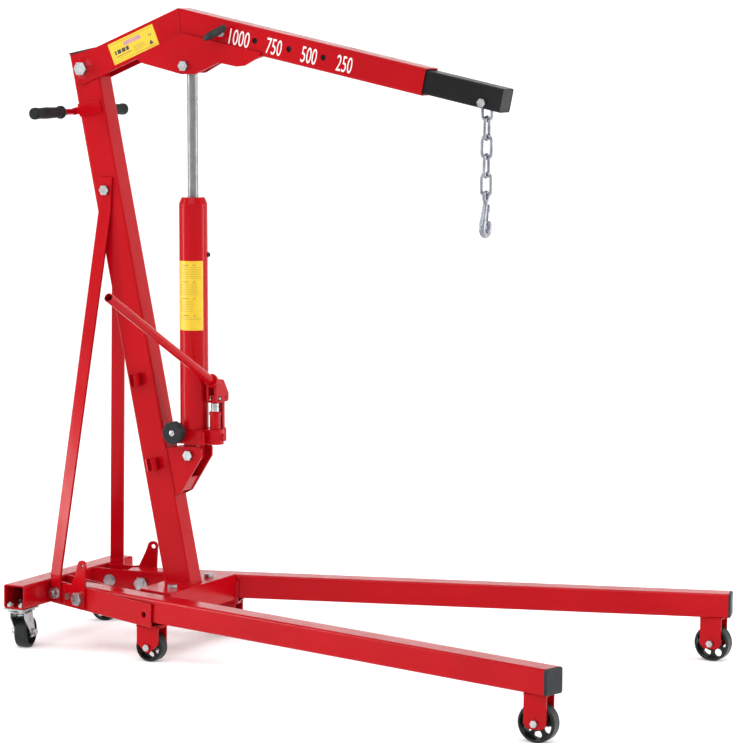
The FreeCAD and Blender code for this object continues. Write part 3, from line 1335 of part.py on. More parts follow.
def make_release_knob():
    """Fluted knob of the release valve on a stem in the base block."""
    radius = size("knob_diameter") / 2
    face = -BLOCK_HALF_WIDTH - 33.0
    spot = Placement(Vector(KNOB_AXIS[0], face, KNOB_AXIS[1]), ALONG_Y)
    disc = cylinder(f"{cell('knob_diameter')} / 2", "20", Placement(Vector(0, 0, 0), Rotation()))
    rim = document.addObject("Part::Fillet", "knob_rim")
    document.recompute()
    rim.Base = disc
    rim.Edges = [(number, 3.0, 3.0) for number, edge in enumerate(disc.Shape.Edges, start=1)
                 if edge.Curve.TypeId == "Part::GeomCircle"]
    flutes = []
    count = 10
    for number in range(count):
        angle = 2 * math.pi * number / count
        spot_on_rim = Vector((radius + 2.5) * math.cos(angle), (radius + 2.5) * math.sin(angle), -1)
        flutes.append(cylinder("4.5", "22", Placement(spot_on_rim, Rotation())))
    recess = cylinder("7", "2", lift(-0.5))
    head = removed(rim, [*flutes, recess])
    screw = cylinder("4", "2", lift(0.5))
    stem = cylinder("5", "36", lift(8))
    knob = fused([head, stem, screw])
    knob.Placement = jack_placement().multiply(spot)
    keep(knob, "release_knob")


# ---------------------------------------------------------------- build
make_crossbar()
for side_name, side_sign in SIDES.items():
    make_channel(side_name, side_sign)
    make_leg(side_name, side_sign)
    make_brace(side_name, side_sign)
make_stow_lugs()
make_mast_foot()
wheel_bolts = make_middle_wheels() + make_casters()
make_mast()
make_push_handle()
make_handle_clips()
make_frame_bolts(wheel_bolts)
make_pivot_bolts()
make_boom_rear()
make_boom_front()
make_ram_bracket()
make_extension()
make_lock_pin()
make_chain()
make_hook()
make_jack_bracket()
make_jack_base()
make_cylinder()
make_piston_rod()
make_pump()
make_release_knob()
document.recompute()

faults = [item.Label for item in document.Objects if {"Invalid", "Error"} & set(item.State)]
faults += [item.Label for item in parts if item.Shape.isNull() or not item.Shape.isValid()]
if faults:
    raise RuntimeError("sub-parts that did not build: " + ", ".join(faults))

os.makedirs("parts", exist_ok=True)
for item in parts:
    item.Shape.exportStep(f"parts/{item.Label}.step")
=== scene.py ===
"""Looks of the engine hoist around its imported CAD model. Metres; +X along the legs, +Z up."""

import json
import math

import bmesh
import bpy
from mathutils import Matrix, Vector


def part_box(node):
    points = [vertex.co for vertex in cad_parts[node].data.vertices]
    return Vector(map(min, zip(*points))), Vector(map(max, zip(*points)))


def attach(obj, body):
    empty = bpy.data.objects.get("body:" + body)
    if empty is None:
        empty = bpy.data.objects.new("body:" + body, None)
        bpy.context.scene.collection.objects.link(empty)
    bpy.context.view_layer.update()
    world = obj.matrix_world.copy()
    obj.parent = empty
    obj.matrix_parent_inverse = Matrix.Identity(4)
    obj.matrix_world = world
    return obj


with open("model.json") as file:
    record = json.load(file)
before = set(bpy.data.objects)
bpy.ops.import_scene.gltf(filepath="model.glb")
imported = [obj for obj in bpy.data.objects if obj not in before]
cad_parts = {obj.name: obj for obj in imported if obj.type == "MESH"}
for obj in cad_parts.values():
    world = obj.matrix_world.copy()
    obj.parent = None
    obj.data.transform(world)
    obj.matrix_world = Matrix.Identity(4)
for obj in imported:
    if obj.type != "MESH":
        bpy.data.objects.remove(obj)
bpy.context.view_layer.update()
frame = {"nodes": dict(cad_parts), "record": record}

MM = 0.001
NODES = frame["nodes"]
# The frame's X of the crossbar's front face, which every length below is measured from.
CROSSBAR_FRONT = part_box("rear_crossbar")[1][0]


def at(x, y, z):
    """A point in millimetres ahead of the crossbar, to the left, and above the floor."""
    return Vector((CROSSBAR_FRONT + x * MM, y * MM, z * MM))


# ---------------------------------------------------------------- materials
class Shader:
    """A Principled material and short ways to wire its nodes."""

    def __init__(self, name):
        self.material = bpy.data.materials.new(name)
        self.material.use_nodes = True
        self.tree = self.material.node_tree
        self.surface = self.tree.nodes["Principled BSDF"]
        self.place = self.tree.nodes.new("ShaderNodeTexCoord").outputs["Object"]

    def node(self, kind, **values):
        made = self.tree.nodes.new(kind)
        for name, value in values.items():
            setattr(made, name, value)
        return made

    def link(self, source, target):
        self.tree.links.new(source, target)

    def set(self, **values):
        for name, value in values.items():
            self.surface.inputs[name.replace("_", " ")].default_value = value

    def noise(self, scale, detail=3.0, roughness=0.5, stretch=(1, 1, 1)):
        """Noise of that many features to the metre, stretched along the axes."""
        mapping = self.node("ShaderNodeMapping")
        mapping.inputs["Scale"].default_value = stretch
        self.link(self.place, mapping.inputs["Vector"])
        noise = self.node("ShaderNodeTexNoise")
        noise.inputs["Scale"].default_value = scale
        noise.inputs["Detail"].default_value = detail
        noise.inputs["Roughness"].default_value = roughness
        self.link(mapping.outputs["Vector"], noise.inputs["Vector"])
        return noise.outputs["Fac"]

    def spread(self, source, low, high, start=0.0, end=1.0):
        """Maps a value that runs from low to high on to start to end, held at both ends."""
        span = self.node("ShaderNodeMapRange")
        span.inputs["From Min"].default_value = low
        span.inputs["From Max"].default_value = high
        span.inputs["To Min"].default_value = start
        span.inputs["To Max"].default_value = end
        self.link(source, span.inputs["Value"])
        return span.outputs["Result"]

    def maths(self, operation, first, second):
        made = self.node("ShaderNodeMath", operation=operation)
        for index, value in enumerate((first, second)):
            if isinstance(value, (int, float)):
                made.inputs[index].default_value = value
            else:
                self.link(value, made.inputs[index])
        return made.outputs[0]

    def mix(self, factor, first, second):
        """Blend of two colours; each is a tuple or another node's output."""
        made = self.node("ShaderNodeMix", data_type="RGBA")
        self.link(factor, made.inputs["Factor"])
        for name, value in (("A", first), ("B", second)):
            socket = next(item for item in made.inputs if item.name == name and item.type == "RGBA")
            if isinstance(value, tuple):
                socket.default_value = (*value, 1.0)
            else:
                self.link(value, socket)
        return next(item for item in made.outputs if item.type == "RGBA")

    def bump(self, source, depth, strength=1.0, under=None):
        made = self.node("ShaderNodeBump")
        made.inputs["Distance"].default_value = depth
        made.inputs["Strength"].default_value = strength
        self.link(source, made.inputs["Height"])
        if under is not None:
            self.link(under, made.inputs["Normal"])
        return made.outputs["Normal"]

    def soft_edges(self, radius):
        """Normal of edges as if rounded to that radius."""
        bevel = self.node("ShaderNodeBevel", samples=4)
        bevel.inputs["Radius"].default_value = radius
        return bevel.outputs["Normal"]

    def edge_mask(self, radius):
        """One on sharp edges and nought on open faces."""
        bevel = self.node("ShaderNodeBevel", samples=4)
        bevel.inputs["Radius"].default_value = radius
        geometry = self.node("ShaderNodeNewGeometry")
        facing = self.node("ShaderNodeVectorMath", operation="DOT_PRODUCT")
        self.link(bevel.outputs["Normal"], facing.inputs[0])
        self.link(geometry.outputs["Normal"], facing.inputs[1])
        return self.spread(facing.outputs["Value"], 0.99, 0.80)

    def finish(self, colour, roughness, normal=None):
        for source, name in ((colour, "Base Color"), (roughness, "Roughness"), (normal, "Normal")):
            if source is None:
                continue
            if isinstance(source, tuple):
                self.surface.inputs[name].default_value = (*source, 1.0)
            elif isinstance(source, (int, float)):
                self.surface.inputs[name].default_value = source
            else:
                self.link(source, self.surface.inputs[name])
        return self.material


def paint(name, base, deep, worn, gloss=0.20, level=0.14):
    """Glossy powder coat: orange peel, faint clouding, dust in patches and thin wear on edges."""
    shader = Shader(name)
    clouds = shader.spread(shader.noise(6.0, 4.0), 0.35, 0.65)
    colour = shader.mix(clouds, deep, base)
    wear = shader.maths("MULTIPLY", shader.edge_mask(0.0016),
                        shader.spread(shader.noise(70.0, 5.0), 0.52, 0.68, 0.0, 0.45))
    colour = shader.mix(wear, colour, worn)
    dust = shader.spread(shader.noise(16.0, 6.0, 0.62), 0.40, 0.75, gloss - 0.04, gloss + 0.07)
    peel = shader.bump(shader.noise(420.0, 2.0), 0.00022, 0.20, shader.soft_edges(0.0014))
    drift = shader.bump(shader.noise(38.0, 2.0), 0.0007, 0.14, peel)
    shader.set(IOR=1.46, Specular_IOR_Level=level)
    return shader.finish(colour, dust, drift)


def bare_metal(name, base, stain, rough_low, rough_high, grain=(1, 1, 1), scale=180.0, metallic=1.0):
    """Plated or ground metal: cloudy tone, fine grain, and rounder-looking edges."""
    shader = Shader(name)
    tone = shader.spread(shader.noise(55.0, 4.0), 0.35, 0.68)
    colour = shader.mix(tone, base, stain)
    roughness = shader.spread(shader.noise(scale, 4.0, 0.6, grain), 0.3, 0.7, rough_low, rough_high)
    normal = shader.bump(shader.noise(scale * 2, 2.0, 0.5, grain), 0.00015, 0.25, shader.soft_edges(0.0006))
    shader.set(Metallic=metallic)
    return shader.finish(colour, roughness, normal)


def moulded(name, base, dusty, rough_low, rough_high, pebble=900.0, depth=0.0002, strength=0.3):
    """Moulded plastic or rubber with a fine pebble and a film of dust."""
    shader = Shader(name)
    film = shader.spread(shader.noise(24.0, 6.0, 0.65), 0.42, 0.72)
    colour = shader.mix(film, base, dusty)
    roughness = shader.spread(shader.noise(60.0, 4.0), 0.3, 0.7, rough_low, rough_high)
    normal = shader.bump(shader.noise(pebble, 3.0, 0.6), depth, strength, shader.soft_edges(0.0009))
    shader.set(Specular_IOR_Level=0.18)
    return shader.finish(colour, roughness, normal)


RED = paint("red_powder_coat", (0.420, 0.0018, 0.0065), (0.375, 0.0012, 0.005), (0.26, 0.03, 0.03))
BLACK = paint("black_powder_coat", (0.014, 0.014, 0.015), (0.010, 0.010, 0.011), (0.10, 0.10, 0.11),
              gloss=0.30, level=0.13)
ZINC = bare_metal("zinc_plate", (0.52, 0.54, 0.56), (0.34, 0.35, 0.35), 0.22, 0.42)
CHAIN = bare_metal("zinc_chain", (0.37, 0.39, 0.43), (0.20, 0.21, 0.24), 0.26, 0.46, scale=140.0)
ROD = bare_metal("ground_rod", (0.26, 0.26, 0.26), (0.19, 0.19, 0.19), 0.32, 0.46, (1, 1, 0.04), 500.0)
PLASTIC = moulded("black_plastic", (0.014, 0.016, 0.017), (0.030, 0.032, 0.034), 0.34, 0.52)
END_CAP = moulded("grey_end_cap", (0.018, 0.020, 0.023), (0.032, 0.034, 0.037), 0.40, 0.60)
GRIP = moulded("grip_rubber", (0.009, 0.010, 0.010), (0.019, 0.021, 0.021), 0.58, 0.80, 700.0, 0.0004, 0.5)
WHEEL = moulded("wheel_nylon", (0.008, 0.012, 0.011), (0.026, 0.030, 0.029), 0.30, 0.50, 500.0, 0.0003, 0.35)

SLOTS = {"red_paint": RED, "black_paint": BLACK, "zinc": ZINC, "chain_steel": CHAIN, "rod_steel": ROD,
         "black_plastic": PLASTIC, "grip_rubber": GRIP, "wheel_plastic": WHEEL}
OTHER_FINISH = {"extension_cap": END_CAP, "leg_cap_left": END_CAP, "leg_cap_right": END_CAP}


def dress_nodes():
    """Gives every CAD node the procedural finish of its material slot."""
    for row in frame["record"]["subparts"]:
        node = NODES[row["node"]]
        finish = OTHER_FINISH.get(row["node"], SLOTS[row["material_slot"]])
        if not node.material_slots:
            node.data.materials.append(finish)
        for used in node.material_slots:
            used.material = finish


dress_nodes()


# ---------------------------------------------------------------- pieces made here
def mesh_piece(name, verts, faces, materials, body, face_material=None, smooth=True):
    """A mesh object that rides on a body, with the finishes it is given."""
    mesh = bpy.data.meshes.new(name)
    mesh.from_pydata([tuple(v) for v in verts], [], faces)
    for material in materials:
        mesh.materials.append(material)
    for index, polygon in enumerate(mesh.polygons):
        polygon.use_smooth = smooth
        if face_material:
            polygon.material_index = face_material[index]
    mesh.update()
    piece = bpy.data.objects.new(name, mesh)
    bpy.context.scene.collection.objects.link(piece)
    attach(piece, body)
    return piece


def rounded_rectangle(left, low, right, high, radius, steps=5):
    """Corner points of a rectangle with round corners, anticlockwise."""
    points = []
    centres = ((right - radius, high - radius, 0), (left + radius, high - radius, 90),
               (left + radius, low + radius, 180), (right - radius, low + radius, 270))
    for x, y, start in centres:
        for step in range(steps + 1):
            turn = math.radians(start + 90 * step / steps)
            points.append((x + radius * math.cos(turn), y + radius * math.sin(turn)))
    return points


def layer(mesh_data, outline, low, high, material, bend, columns=1):
    """Adds a thin closed slab with that outline to (verts, faces, materials).

    The function bend maps (u, v, out) to a point, and the outline is cut into columns along u
    so that it can follow a curve.
    """
    verts, faces, kinds = mesh_data
    left = min(u for u, _ in outline)
    right = max(u for u, _ in outline)
    cuts = sorted({left + (right - left) * n / columns for n in range(1, columns)})
    shape = bmesh.new()
    ring = [shape.verts.new((u, v, 0)) for u, v in outline]
    shape.faces.new(ring)
    for cut in cuts:
        everything = shape.verts[:] + shape.edges[:] + shape.faces[:]
        bmesh.ops.bisect_plane(shape, geom=everything, plane_co=(cut, 0, 0), plane_no=(1, 0, 0))
    slab = bmesh.ops.extrude_face_region(shape, geom=shape.faces[:])
    for item in slab["geom"]:
        if isinstance(item, bmesh.types.BMVert):
            item.co.z = 1.0
    bmesh.ops.recalc_face_normals(shape, faces=shape.faces[:])
    shape.verts.index_update()
    first = len(verts)
    for vert in shape.verts:
        verts.append(bend(vert.co.x, vert.co.y, high if vert.co.z > 0.5 else low))
    for face in shape.faces:
        faces.append([first + vert.index for vert in face.verts])
        kinds.append(material)
    shape.free()


LABEL_CORNER = 0.0010
# How far the label's own film and the print on it reach out from the metal: (from, to).
FILM_DEPTH = (0.00002, 0.00016)
PRINT_DEPTH = (0.00014, 0.00021)
FILM_OF = {"ink": 1, "triangle": 1, "grey": 2, "violet": 3}


def sticker(name, width, height, bars, bend, body, columns=1):
    """Printed label: a yellow film with abstract printed shapes, no lettering.

    Each bar is its left, its foot, its width, its height and its kind.
    """
    data = ([], [], [])
    sheet = rounded_rectangle(0, 0, width, height, LABEL_CORNER)
    layer(data, sheet, *FILM_DEPTH, 0, bend, columns)
    for left, low, wide, tall, kind in bars:
        outline = [(left, low), (left + wide, low), (left + wide, low + tall), (left, low + tall)]
        if kind == "triangle":
            outline = [(left, low), (left + wide, low), (left + wide / 2, low + tall)]
        cut = max(1, round(columns * wide / width))
        layer(data, outline, *PRINT_DEPTH, FILM_OF[kind], bend, cut)
    verts, faces, kinds = data
    films = [YELLOW, INK, FADED, VIOLET]
    return mesh_piece(name, verts, faces, films, body, kinds, smooth=False)


def printed(name, base, faded):
    """Vinyl film: slightly uneven ink, soft gloss and a faint ripple where it was pressed on."""
    shader = Shader(name)
    colour = shader.mix(shader.spread(shader.noise(90.0, 5.0, 0.6), 0.35, 0.70), base, faded)
    roughness = shader.spread(shader.noise(40.0, 3.0), 0.3, 0.7, 0.28, 0.42)
    normal = shader.bump(shader.noise(26.0, 2.0), 0.0004, 0.12)
    return shader.finish(colour, roughness, normal)


YELLOW = printed("label_yellow", (0.74, 0.51, 0.016), (0.68, 0.44, 0.010))
INK = printed("label_ink", (0.020, 0.019, 0.018), (0.05, 0.045, 0.04))
FADED = printed("label_faded_ink", (0.26, 0.19, 0.035), (0.36, 0.26, 0.040))
VIOLET = printed("label_violet", (0.46, 0.22, 0.26), (0.52, 0.28, 0.28))
WHITE_INK = printed("load_mark_white", (0.86, 0.84, 0.84), (0.74, 0.70, 0.70))

# The boom's bend: the top edge where its two tubes meet, and how they slope away from it.
KNEE = at(250.0, 0, 1328.0)
REAR_SLOPE = math.radians(23.0)
FRONT_SLOPE = math.radians(11.04)
BOOM_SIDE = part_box("boom_front")[0][1]


def boom_face(slope, rising):
    """Maps (along, up, out) on to the boom's right side, from the top of its bend."""
    turn = slope if rising else -slope
    along = Vector((math.cos(turn), 0, math.sin(turn)))
    up = Vector((-math.sin(turn), 0, math.cos(turn)))

    def place(u, v, out, side=-1):
        point = KNEE + along * u + up * v
        return Vector((point.x, side * (abs(BOOM_SIDE) + out), point.z))
    return place


def rating_label():
    """Label on the sloping rear of the boom: frame lines, bold blocks, small print and two signs."""
    place = boom_face(REAR_SLOPE, True)
    start, base = -0.1845, -0.0515
    width, height = 0.1155, 0.0450
    frame_lines = [(0.004, low, 0.107, 0.0005, "ink") for low in (0.004, 0.0405)]
    bold_blocks = [(left, 0.0175, wide, 0.0085, "ink")
                   for left, wide in ((0.010, 0.004), (0.0165, 0.009), (0.0275, 0.009), (0.0385, 0.007))]
    underlines = [(0.010, 0.0125, 0.040, 0.0012, "ink"), (0.010, 0.0092, 0.034, 0.0009, "grey")]
    small_print = [(0.056, low, wide, 0.0010, "grey")
                   for low, wide in ((0.0180, 0.030), (0.0150, 0.026), (0.0120, 0.030), (0.0090, 0.022))]
    signs = [(0.094, 0.0080, 0.011, 0.0095, "triangle"), (0.098, 0.0240, 0.003, 0.0060, "grey"),
             (0.1025, 0.0240, 0.003, 0.0060, "grey")]
    band = [(0.036, 0.0285, 0.044, 0.0085, "violet")]
    bars = frame_lines + bold_blocks + underlines + small_print + signs + band
    sticker("rating_label", width, height, bars, lambda u, v, out: place(start + u, base + v, out), "boom")


def load_marks():
    """Load numbers, in kilograms, beside the boom's adjustment holes, on both sides."""
    place = boom_face(FRONT_SLOPE, False)
    tall, foot, digit_width = 0.0325, -0.0465, 0.0118
    first_centre, spacing = 0.1535, 0.0816
    film_gap, film_thickness = 0.00012, 0.0001
    for index, number in enumerate(("1000", "750", "500", "250")):
        text = bpy.data.curves.new(f"mark_{number}", "FONT")
        text.body = number
        text.resolution_u = 3
        shape = bpy.data.objects.new(f"mark_{number}", text)
        bpy.context.scene.collection.objects.link(shape)
        bpy.context.view_layer.update()
        flat = bpy.data.meshes.new_from_object(shape)
        bpy.data.objects.remove(shape)
        xs = [v.co.x for v in flat.vertices]
        ys = [v.co.y for v in flat.vertices]
        wide = digit_width * len(number)
        centre = first_centre + spacing * index
        for side, name in ((-1, "right"), (1, "left")):
            verts = []
            for vert in flat.vertices:
                u = (vert.co.x - min(xs)) / (max(xs) - min(xs)) * wide
                v = (vert.co.y - min(ys)) / (max(ys) - min(ys)) * tall
                along = centre - wide / 2 + u if side < 0 else centre + wide / 2 - u
                verts.append(place(along, foot + v, film_gap, side))
            faces = [list(polygon.vertices) for polygon in flat.polygons]
            piece = mesh_piece(f"load_mark_{number}_{name}", verts, faces, [WHITE_INK], "boom",
                               smooth=False)
            film = piece.modifiers.new("film", "SOLIDIFY")
            film.thickness = film_thickness
            film.offset = 0.0


# The jack's base pin, the cylinder's lean from upright, and its outer radius.
JACK_BASE = at(280.0, 0, 408.7)
JACK_LEAN = math.radians(0.8)
JACK_RADIUS = 0.0295


def jack_point(x, y, z):
    """Point in the jack's own frame, z along the cylinder."""
    return JACK_BASE + Vector((x * math.cos(JACK_LEAN) - z * math.sin(JACK_LEAN), y,
                               x * math.sin(JACK_LEAN) + z * math.cos(JACK_LEAN)))


def jack_label():
    """Instruction label wrapped round the cylinder; its print is stood in for by plain bars."""
    low = 0.260
    middle = math.radians(-78.0)
    width, height = 0.0600, 0.1430
    margin, blocks, block_pitch, rows, row_pitch = 0.005, 4, 0.0345, 7, 0.0036
    heading_tall, row_tall = 0.0011, 0.0007

    def wrap(u, v, out):
        angle = middle + (u - width / 2) / JACK_RADIUS
        reach = JACK_RADIUS + out
        return jack_point(reach * math.cos(angle), reach * math.sin(angle), low + v)
    bars = []
    for block in range(blocks):
        top = height - 0.009 - block_pitch * block
        bars.append((0.012, top, 0.017, heading_tall, "ink"))
        bars.append((0.038, top, 0.005, heading_tall, "ink"))
        is_last = block == blocks - 1
        for row in range(2 if is_last else rows):
            long = 0.051 - 0.009 * ((row * 3 + block) % 3)
            bars.append((margin, top - 0.0045 - row_pitch * row, long, row_tall, "grey"))
    sticker("jack_label", width, height, bars, wrap, "jack", columns=18)


def turned(name, profile, centre, axis, material, body, steps=24):
    """Solid of revolution from (radius, height) points, along an axis."""
    turn = Vector((0, 0, 1)).rotation_difference(Vector(axis).normalized())
    verts = []
    for radius, height in profile:
        for step in range(steps):
            angle = 2 * math.pi * step / steps
            verts.append(centre + turn @ Vector((radius * math.cos(angle), radius * math.sin(angle), height)))
    faces = []
    for ring in range(len(profile) - 1):
        for step in range(steps):
            after = (step + 1) % steps
            faces.append([ring * steps + step, ring * steps + after,
                          (ring + 1) * steps + after, (ring + 1) * steps + step])
    faces.append(list(range(steps))[::-1])
    faces.append([(len(profile) - 1) * steps + step for step in range(steps)])
    return mesh_piece(name, verts, faces, [material], body)


def filler_plug():
    """Rubber plug of the oil filler on the side of the cylinder."""
    angle = math.radians(24.0)
    outward = Vector((math.cos(angle), math.sin(angle), 0))
    foot = jack_point(0, 0, 0.415) + outward * (JACK_RADIUS - 0.001)
    profile = [(0.0055, 0.0), (0.0055, 0.0026), (0.0042, 0.0034), (0.0040, 0.0052), (0.0028, 0.0060)]
    turned("filler_plug", profile, foot, outward, GRIP, "jack")


def plunger_yoke():
    """Painted yoke over the plunger's tongue, between the cheeks of the pump lever."""
    pump_ahead, half, bottom, top = 0.0490, 0.0067, 0.1085, 0.1265
    outline = rounded_rectangle(-half, -half, half, half, 0.0015)
    count = len(outline)
    verts = [jack_point(pump_ahead + x, y, height) for height in (bottom, top) for x, y in outline]
    faces = [[i, (i + 1) % count, count + (i + 1) % count, count + i] for i in range(count)]
    faces.append(list(range(count))[::-1])
    faces.append([count + i for i in range(count)])
    mesh_piece("plunger_yoke", verts, faces, [RED], "pump_plunger", smooth=False)


def knob_screw():
    """Zinc screw and its washer in the middle of the release knob."""
    low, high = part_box("release_knob")
    centre = Vector(((low[0] + high[0]) / 2, low[1], (low[2] + high[2]) / 2))
    foot = centre + Vector((0, 0.0012, 0))
    washer = [(0.0062, 0.0), (0.0062, 0.0012), (0.0058, 0.0016), (0.0040, 0.0016)]
    screw = [(0.0036, 0.0010), (0.0036, 0.0022), (0.0030, 0.0031), (0.0012, 0.0035)]
    for name, profile in (("knob_washer", washer), ("knob_screw", screw)):
        turned(name, profile, foot, (0, -1, 0), ZINC, "release_knob")


# ---------------------------------------------------------------- weld beads
def bead(name, points, radius, body, closed=False):
    """Weld bead along a line: overlapping ripples, half sunk in the joint."""
    step, ripple_pitch, ring_steps = 0.0016, 0.0034, 8
    # A direction that no bead runs in, to set out its cross-section from.
    askew = Vector((0.31, 0.17, 0.93))
    line = [Vector(p) for p in points]
    if closed:
        line.append(line[0])
    samples = []
    travelled = 0.0
    for start, end in zip(line, line[1:]):
        length = (end - start).length
        count = max(1, round(length / step))
        for index in range(count):
            share = index / count
            samples.append((start.lerp(end, share), (end - start).normalized(), travelled + length * share))
        travelled += length
    samples.append((line[-1], (line[-1] - line[-2]).normalized(), travelled))
    verts = []
    for point, direction, far in samples:
        side = direction.cross(askew).normalized()
        up = direction.cross(side)
        ripple = 1.0 + 0.16 * math.sin(far / ripple_pitch * 2 * math.pi) + 0.07 * math.sin(far * 211.0)
        for index in range(ring_steps):
            turn = 2 * math.pi * index / ring_steps
            verts.append(point + (side * math.cos(turn) + up * math.sin(turn)) * radius * ripple)
    faces = []
    for row in range(len(samples) - 1):
        for index in range(ring_steps):
            after = (index + 1) % ring_steps
            faces.append([row * ring_steps + index, row * ring_steps + after,
                          (row + 1) * ring_steps + after, (row + 1) * ring_steps + index])
    last = (len(samples) - 1) * ring_steps
    faces.append(list(range(ring_steps))[::-1])
    faces.append([last + index for index in range(ring_steps)])
    return mesh_piece(name, verts, faces, [RED], body)


MAST_LEAN = math.radians(12.19)
MAST_DEPTH = 63.0
MAST_FOOT = (254.4, 138.0)
SPLAY = math.radians(15.6)
# Middle of each leg channel where it leaves the crossbar, and half its width along the crossbar.
CHANNEL_MIDDLE = 82.0
CHANNEL_HALF = 30.0 / math.cos(SPLAY)
SIDES = ((-1, "right"), (1, "left"))


def mast_front_at(z):
    """X of the mast's front face at a height."""
    middle, foot = MAST_FOOT
    return middle - (z - foot) * math.tan(MAST_LEAN) + MAST_DEPTH / 2 / math.cos(MAST_LEAN)


def mast_rear_at(z):
    """X of the mast's rear face at a height."""
    return mast_front_at(z) - MAST_DEPTH / math.cos(MAST_LEAN)


def weld_mast_foot():
    """Bead round the foot of the mast, cut across the tube's corners."""
    front = mast_front_at(MAST_FOOT[1])
    rear = mast_rear_at(MAST_FOOT[1])
    half, corner, cut, z = 24.6, 20, 4, 138.4
    line = [(rear, -corner), (rear + cut, -half), (front - cut, -half), (front, -corner),
            (front, corner), (front - cut, half), (rear + cut, half), (rear, corner)]
    bead("weld_mast_foot", [at(x, y, z) for x, y in line], 0.0026, "base", closed=True)


def weld_front_fork(side_name):
    """Bead round the top of a front wheel's fork, under the leg."""
    low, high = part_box(f"front_fork_{side_name}")
    inset, drop = 0.0006, 0.0012
    corners = [(low[0] + inset, low[1]), (high[0] - inset, low[1]),
               (high[0] - inset, high[1]), (low[0] + inset, high[1])]
    line = [Vector((x, y, high[2] - drop)) for x, y in corners]
    bead(f"weld_front_fork_{side_name}", line, 0.0018, f"leg_{side_name}", closed=True)


def weld_middle_fork(side, side_name):
    """Bead round the top of a middle wheel's fork, under the leg channel."""
    y = side * (CHANNEL_MIDDLE + 273.0 * math.tan(SPLAY))
    half = 18.5
    rear, front = (248, 73.6), (298, 73.0)
    line = [at(x, y + reach, z)
            for (x, z), reach in ((rear, -half), (front, -half), (front, half), (rear, half))]
    bead(f"weld_middle_fork_{side_name}", line, 0.0018, "base", closed=True)


def welds():
    """Beads where the tubes and plates of the frame meet."""
    weld_mast_foot()
    for side, name in SIDES:
        bracket = [at(mast_front_at(z), side * 24.6, z) for z in (324, 372, 419)]
        bead(f"weld_jack_bracket_{name}", bracket, 0.0022, "base")
        bend = [at(250.2, side * 27.5, 1325.5), at(256.8, side * 27.5, 1272.0)]
        bead(f"weld_boom_bend_{name}", bend, 0.0013, "boom")
        for edge, place in ((-CHANNEL_HALF, "inner"), (CHANNEL_HALF, "outer")):
            y = side * (CHANNEL_MIDDLE + edge)
            bead(f"weld_channel_{name}_{place}", [at(1.0, y, 90.5), at(1.0, y, 136.5)], 0.0020, "base")
        weld_front_fork(name)
        weld_middle_fork(side, name)


rating_label()
load_marks()
jack_label()
filler_plug()
plunger_yoke()
knob_screw()
welds()


# ---------------------------------------------------------------- stage, lights and camera
def bowl():
    """Pale floor that curves up far away, so that no horizon shows from any side."""
    flat, rise, arc_steps, steps = 14.0, 7.0, 12, 96
    profile = [(6.0, 0.0), (flat, 0.0)]
    for step in range(1, arc_steps + 1):
        turn = math.radians(90 * step / arc_steps)
        profile.append((flat + rise * math.sin(turn), rise - rise * math.cos(turn)))
    verts = []
    for radius, height in profile:
        for step in range(steps):
            angle = 2 * math.pi * step / steps
            verts.append((radius * math.cos(angle), radius * math.sin(angle), height))
    verts.append((0, 0, 0))
    faces = []
    for ring in range(len(profile) - 1):
        for step in range(steps):
            after = (step + 1) % steps
            faces.append([ring * steps + step, ring * steps + after,
                          (ring + 1) * steps + after, (ring + 1) * steps + step])
    for step in range(steps):
        faces.append([len(verts) - 1, (step + 1) % steps, step])
    mesh = bpy.data.meshes.new("studio_floor")
    mesh.from_pydata(verts, [], faces)
    for polygon in mesh.polygons:
        polygon.use_smooth = True
    shader = Shader("studio_paper")
    colour = shader.mix(shader.noise(3.0, 3.0), (0.93, 0.93, 0.93), (0.96, 0.96, 0.96))
    shader.set(Specular_IOR_Level=0.1, Emission_Strength=0.20)
    shader.link(colour, shader.surface.inputs["Emission Color"])
    mesh.materials.append(shader.finish(colour, 0.9))
    floor = bpy.data.objects.new("studio_floor", mesh)
    bpy.context.scene.collection.objects.link(floor)


def area_light(name, place, aim, power, width, height):
    lamp = bpy.data.lights.new(name, "AREA")
    lamp.shape = "RECTANGLE"
    lamp.size = width
    lamp.size_y = height
    lamp.energy = power
    holder = bpy.data.objects.new(name, lamp)
    holder.location = place
    holder.rotation_euler = (Vector(aim) - Vector(place)).to_track_quat("-Z", "Y").to_euler()
    bpy.context.scene.collection.objects.link(holder)


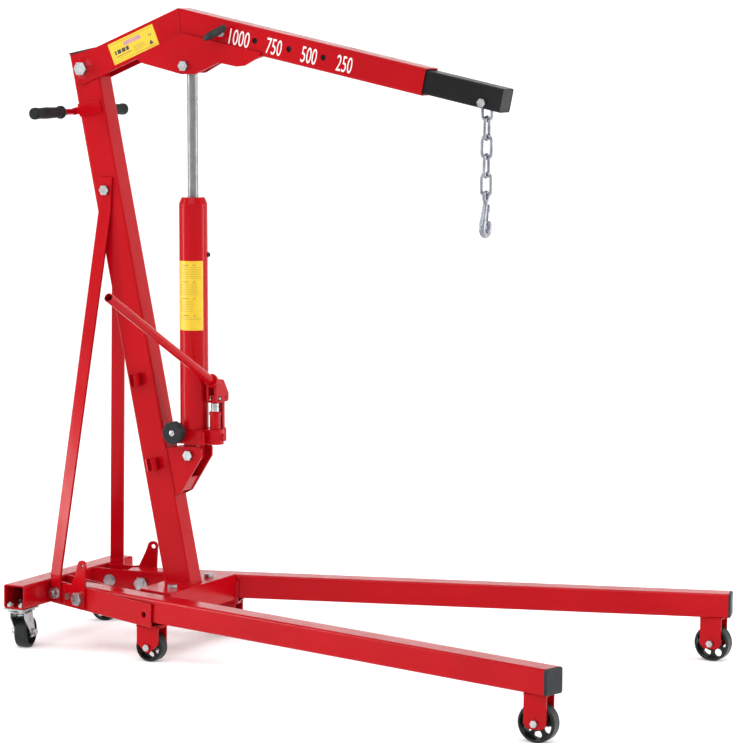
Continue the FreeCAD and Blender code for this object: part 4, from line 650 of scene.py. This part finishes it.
def sun(name, towards, strength, spread):
    """Wide soft light from far off, which keeps the floor evenly lit."""
    lamp = bpy.data.lights.new(name, "SUN")
    lamp.energy = strength
    lamp.angle = math.radians(spread)
    holder = bpy.data.objects.new(name, lamp)
    holder.rotation_euler = Vector(towards).to_track_quat("Z", "Y").to_euler()
    bpy.context.scene.collection.objects.link(holder)


def lights():
    world = bpy.data.worlds.new("studio")
    world.use_nodes = True
    background = world.node_tree.nodes["Background"]
    background.inputs["Color"].default_value = (1.0, 1.0, 1.0, 1.0)
    background.inputs["Strength"].default_value = 0.42
    bpy.context.scene.world = world
    subject = (0.0, 0.0, 0.7)
    sun("key", (0.10, -0.62, 0.78), 1.55, 50.0)
    sun("cross", (0.75, 0.25, 0.62), 0.55, 60.0)
    area_light("strip_left", (-3.1, -1.7, 1.4), subject, 55.0, 0.5, 2.8)
    area_light("strip_right", (3.2, 1.8, 1.4), subject, 60.0, 0.7, 2.8)
    area_light("top", (0.2, 0.6, 4.6), (0.0, 0.0, 0.3), 40.0, 3.0, 3.0)


def camera():
    """Level long-lens view from the right and a little above, at the photograph's angle."""
    yaw, pitch, roll = math.radians(27.187), math.radians(6.539), math.radians(0.665)
    look = Vector((-math.sin(yaw) * math.cos(pitch), math.cos(yaw) * math.cos(pitch), -math.sin(pitch)))
    right = Vector((math.cos(yaw), math.sin(yaw), 0))
    up = right.cross(look)
    right, up = (right * math.cos(roll) + up * math.sin(roll), up * math.cos(roll) - right * math.sin(roll))
    data = bpy.data.cameras.new("camera")
    data.sensor_width = 36.0
    data.lens = 162.74
    data.shift_x = -0.0071
    data.shift_y = -0.0045
    data.clip_end = 100.0
    holder = bpy.data.objects.new("camera", data)
    place = at(3757.8, -5969.9, 1383.1)
    holder.matrix_world = Matrix((
        (right.x, up.x, -look.x, place.x),
        (right.y, up.y, -look.y, place.y),
        (right.z, up.z, -look.z, place.z),
        (0, 0, 0, 1)))
    bpy.context.scene.collection.objects.link(holder)
    bpy.context.scene.camera = holder


bowl()
lights()
camera()
bpy.context.scene.view_settings.view_transform = "Standard"
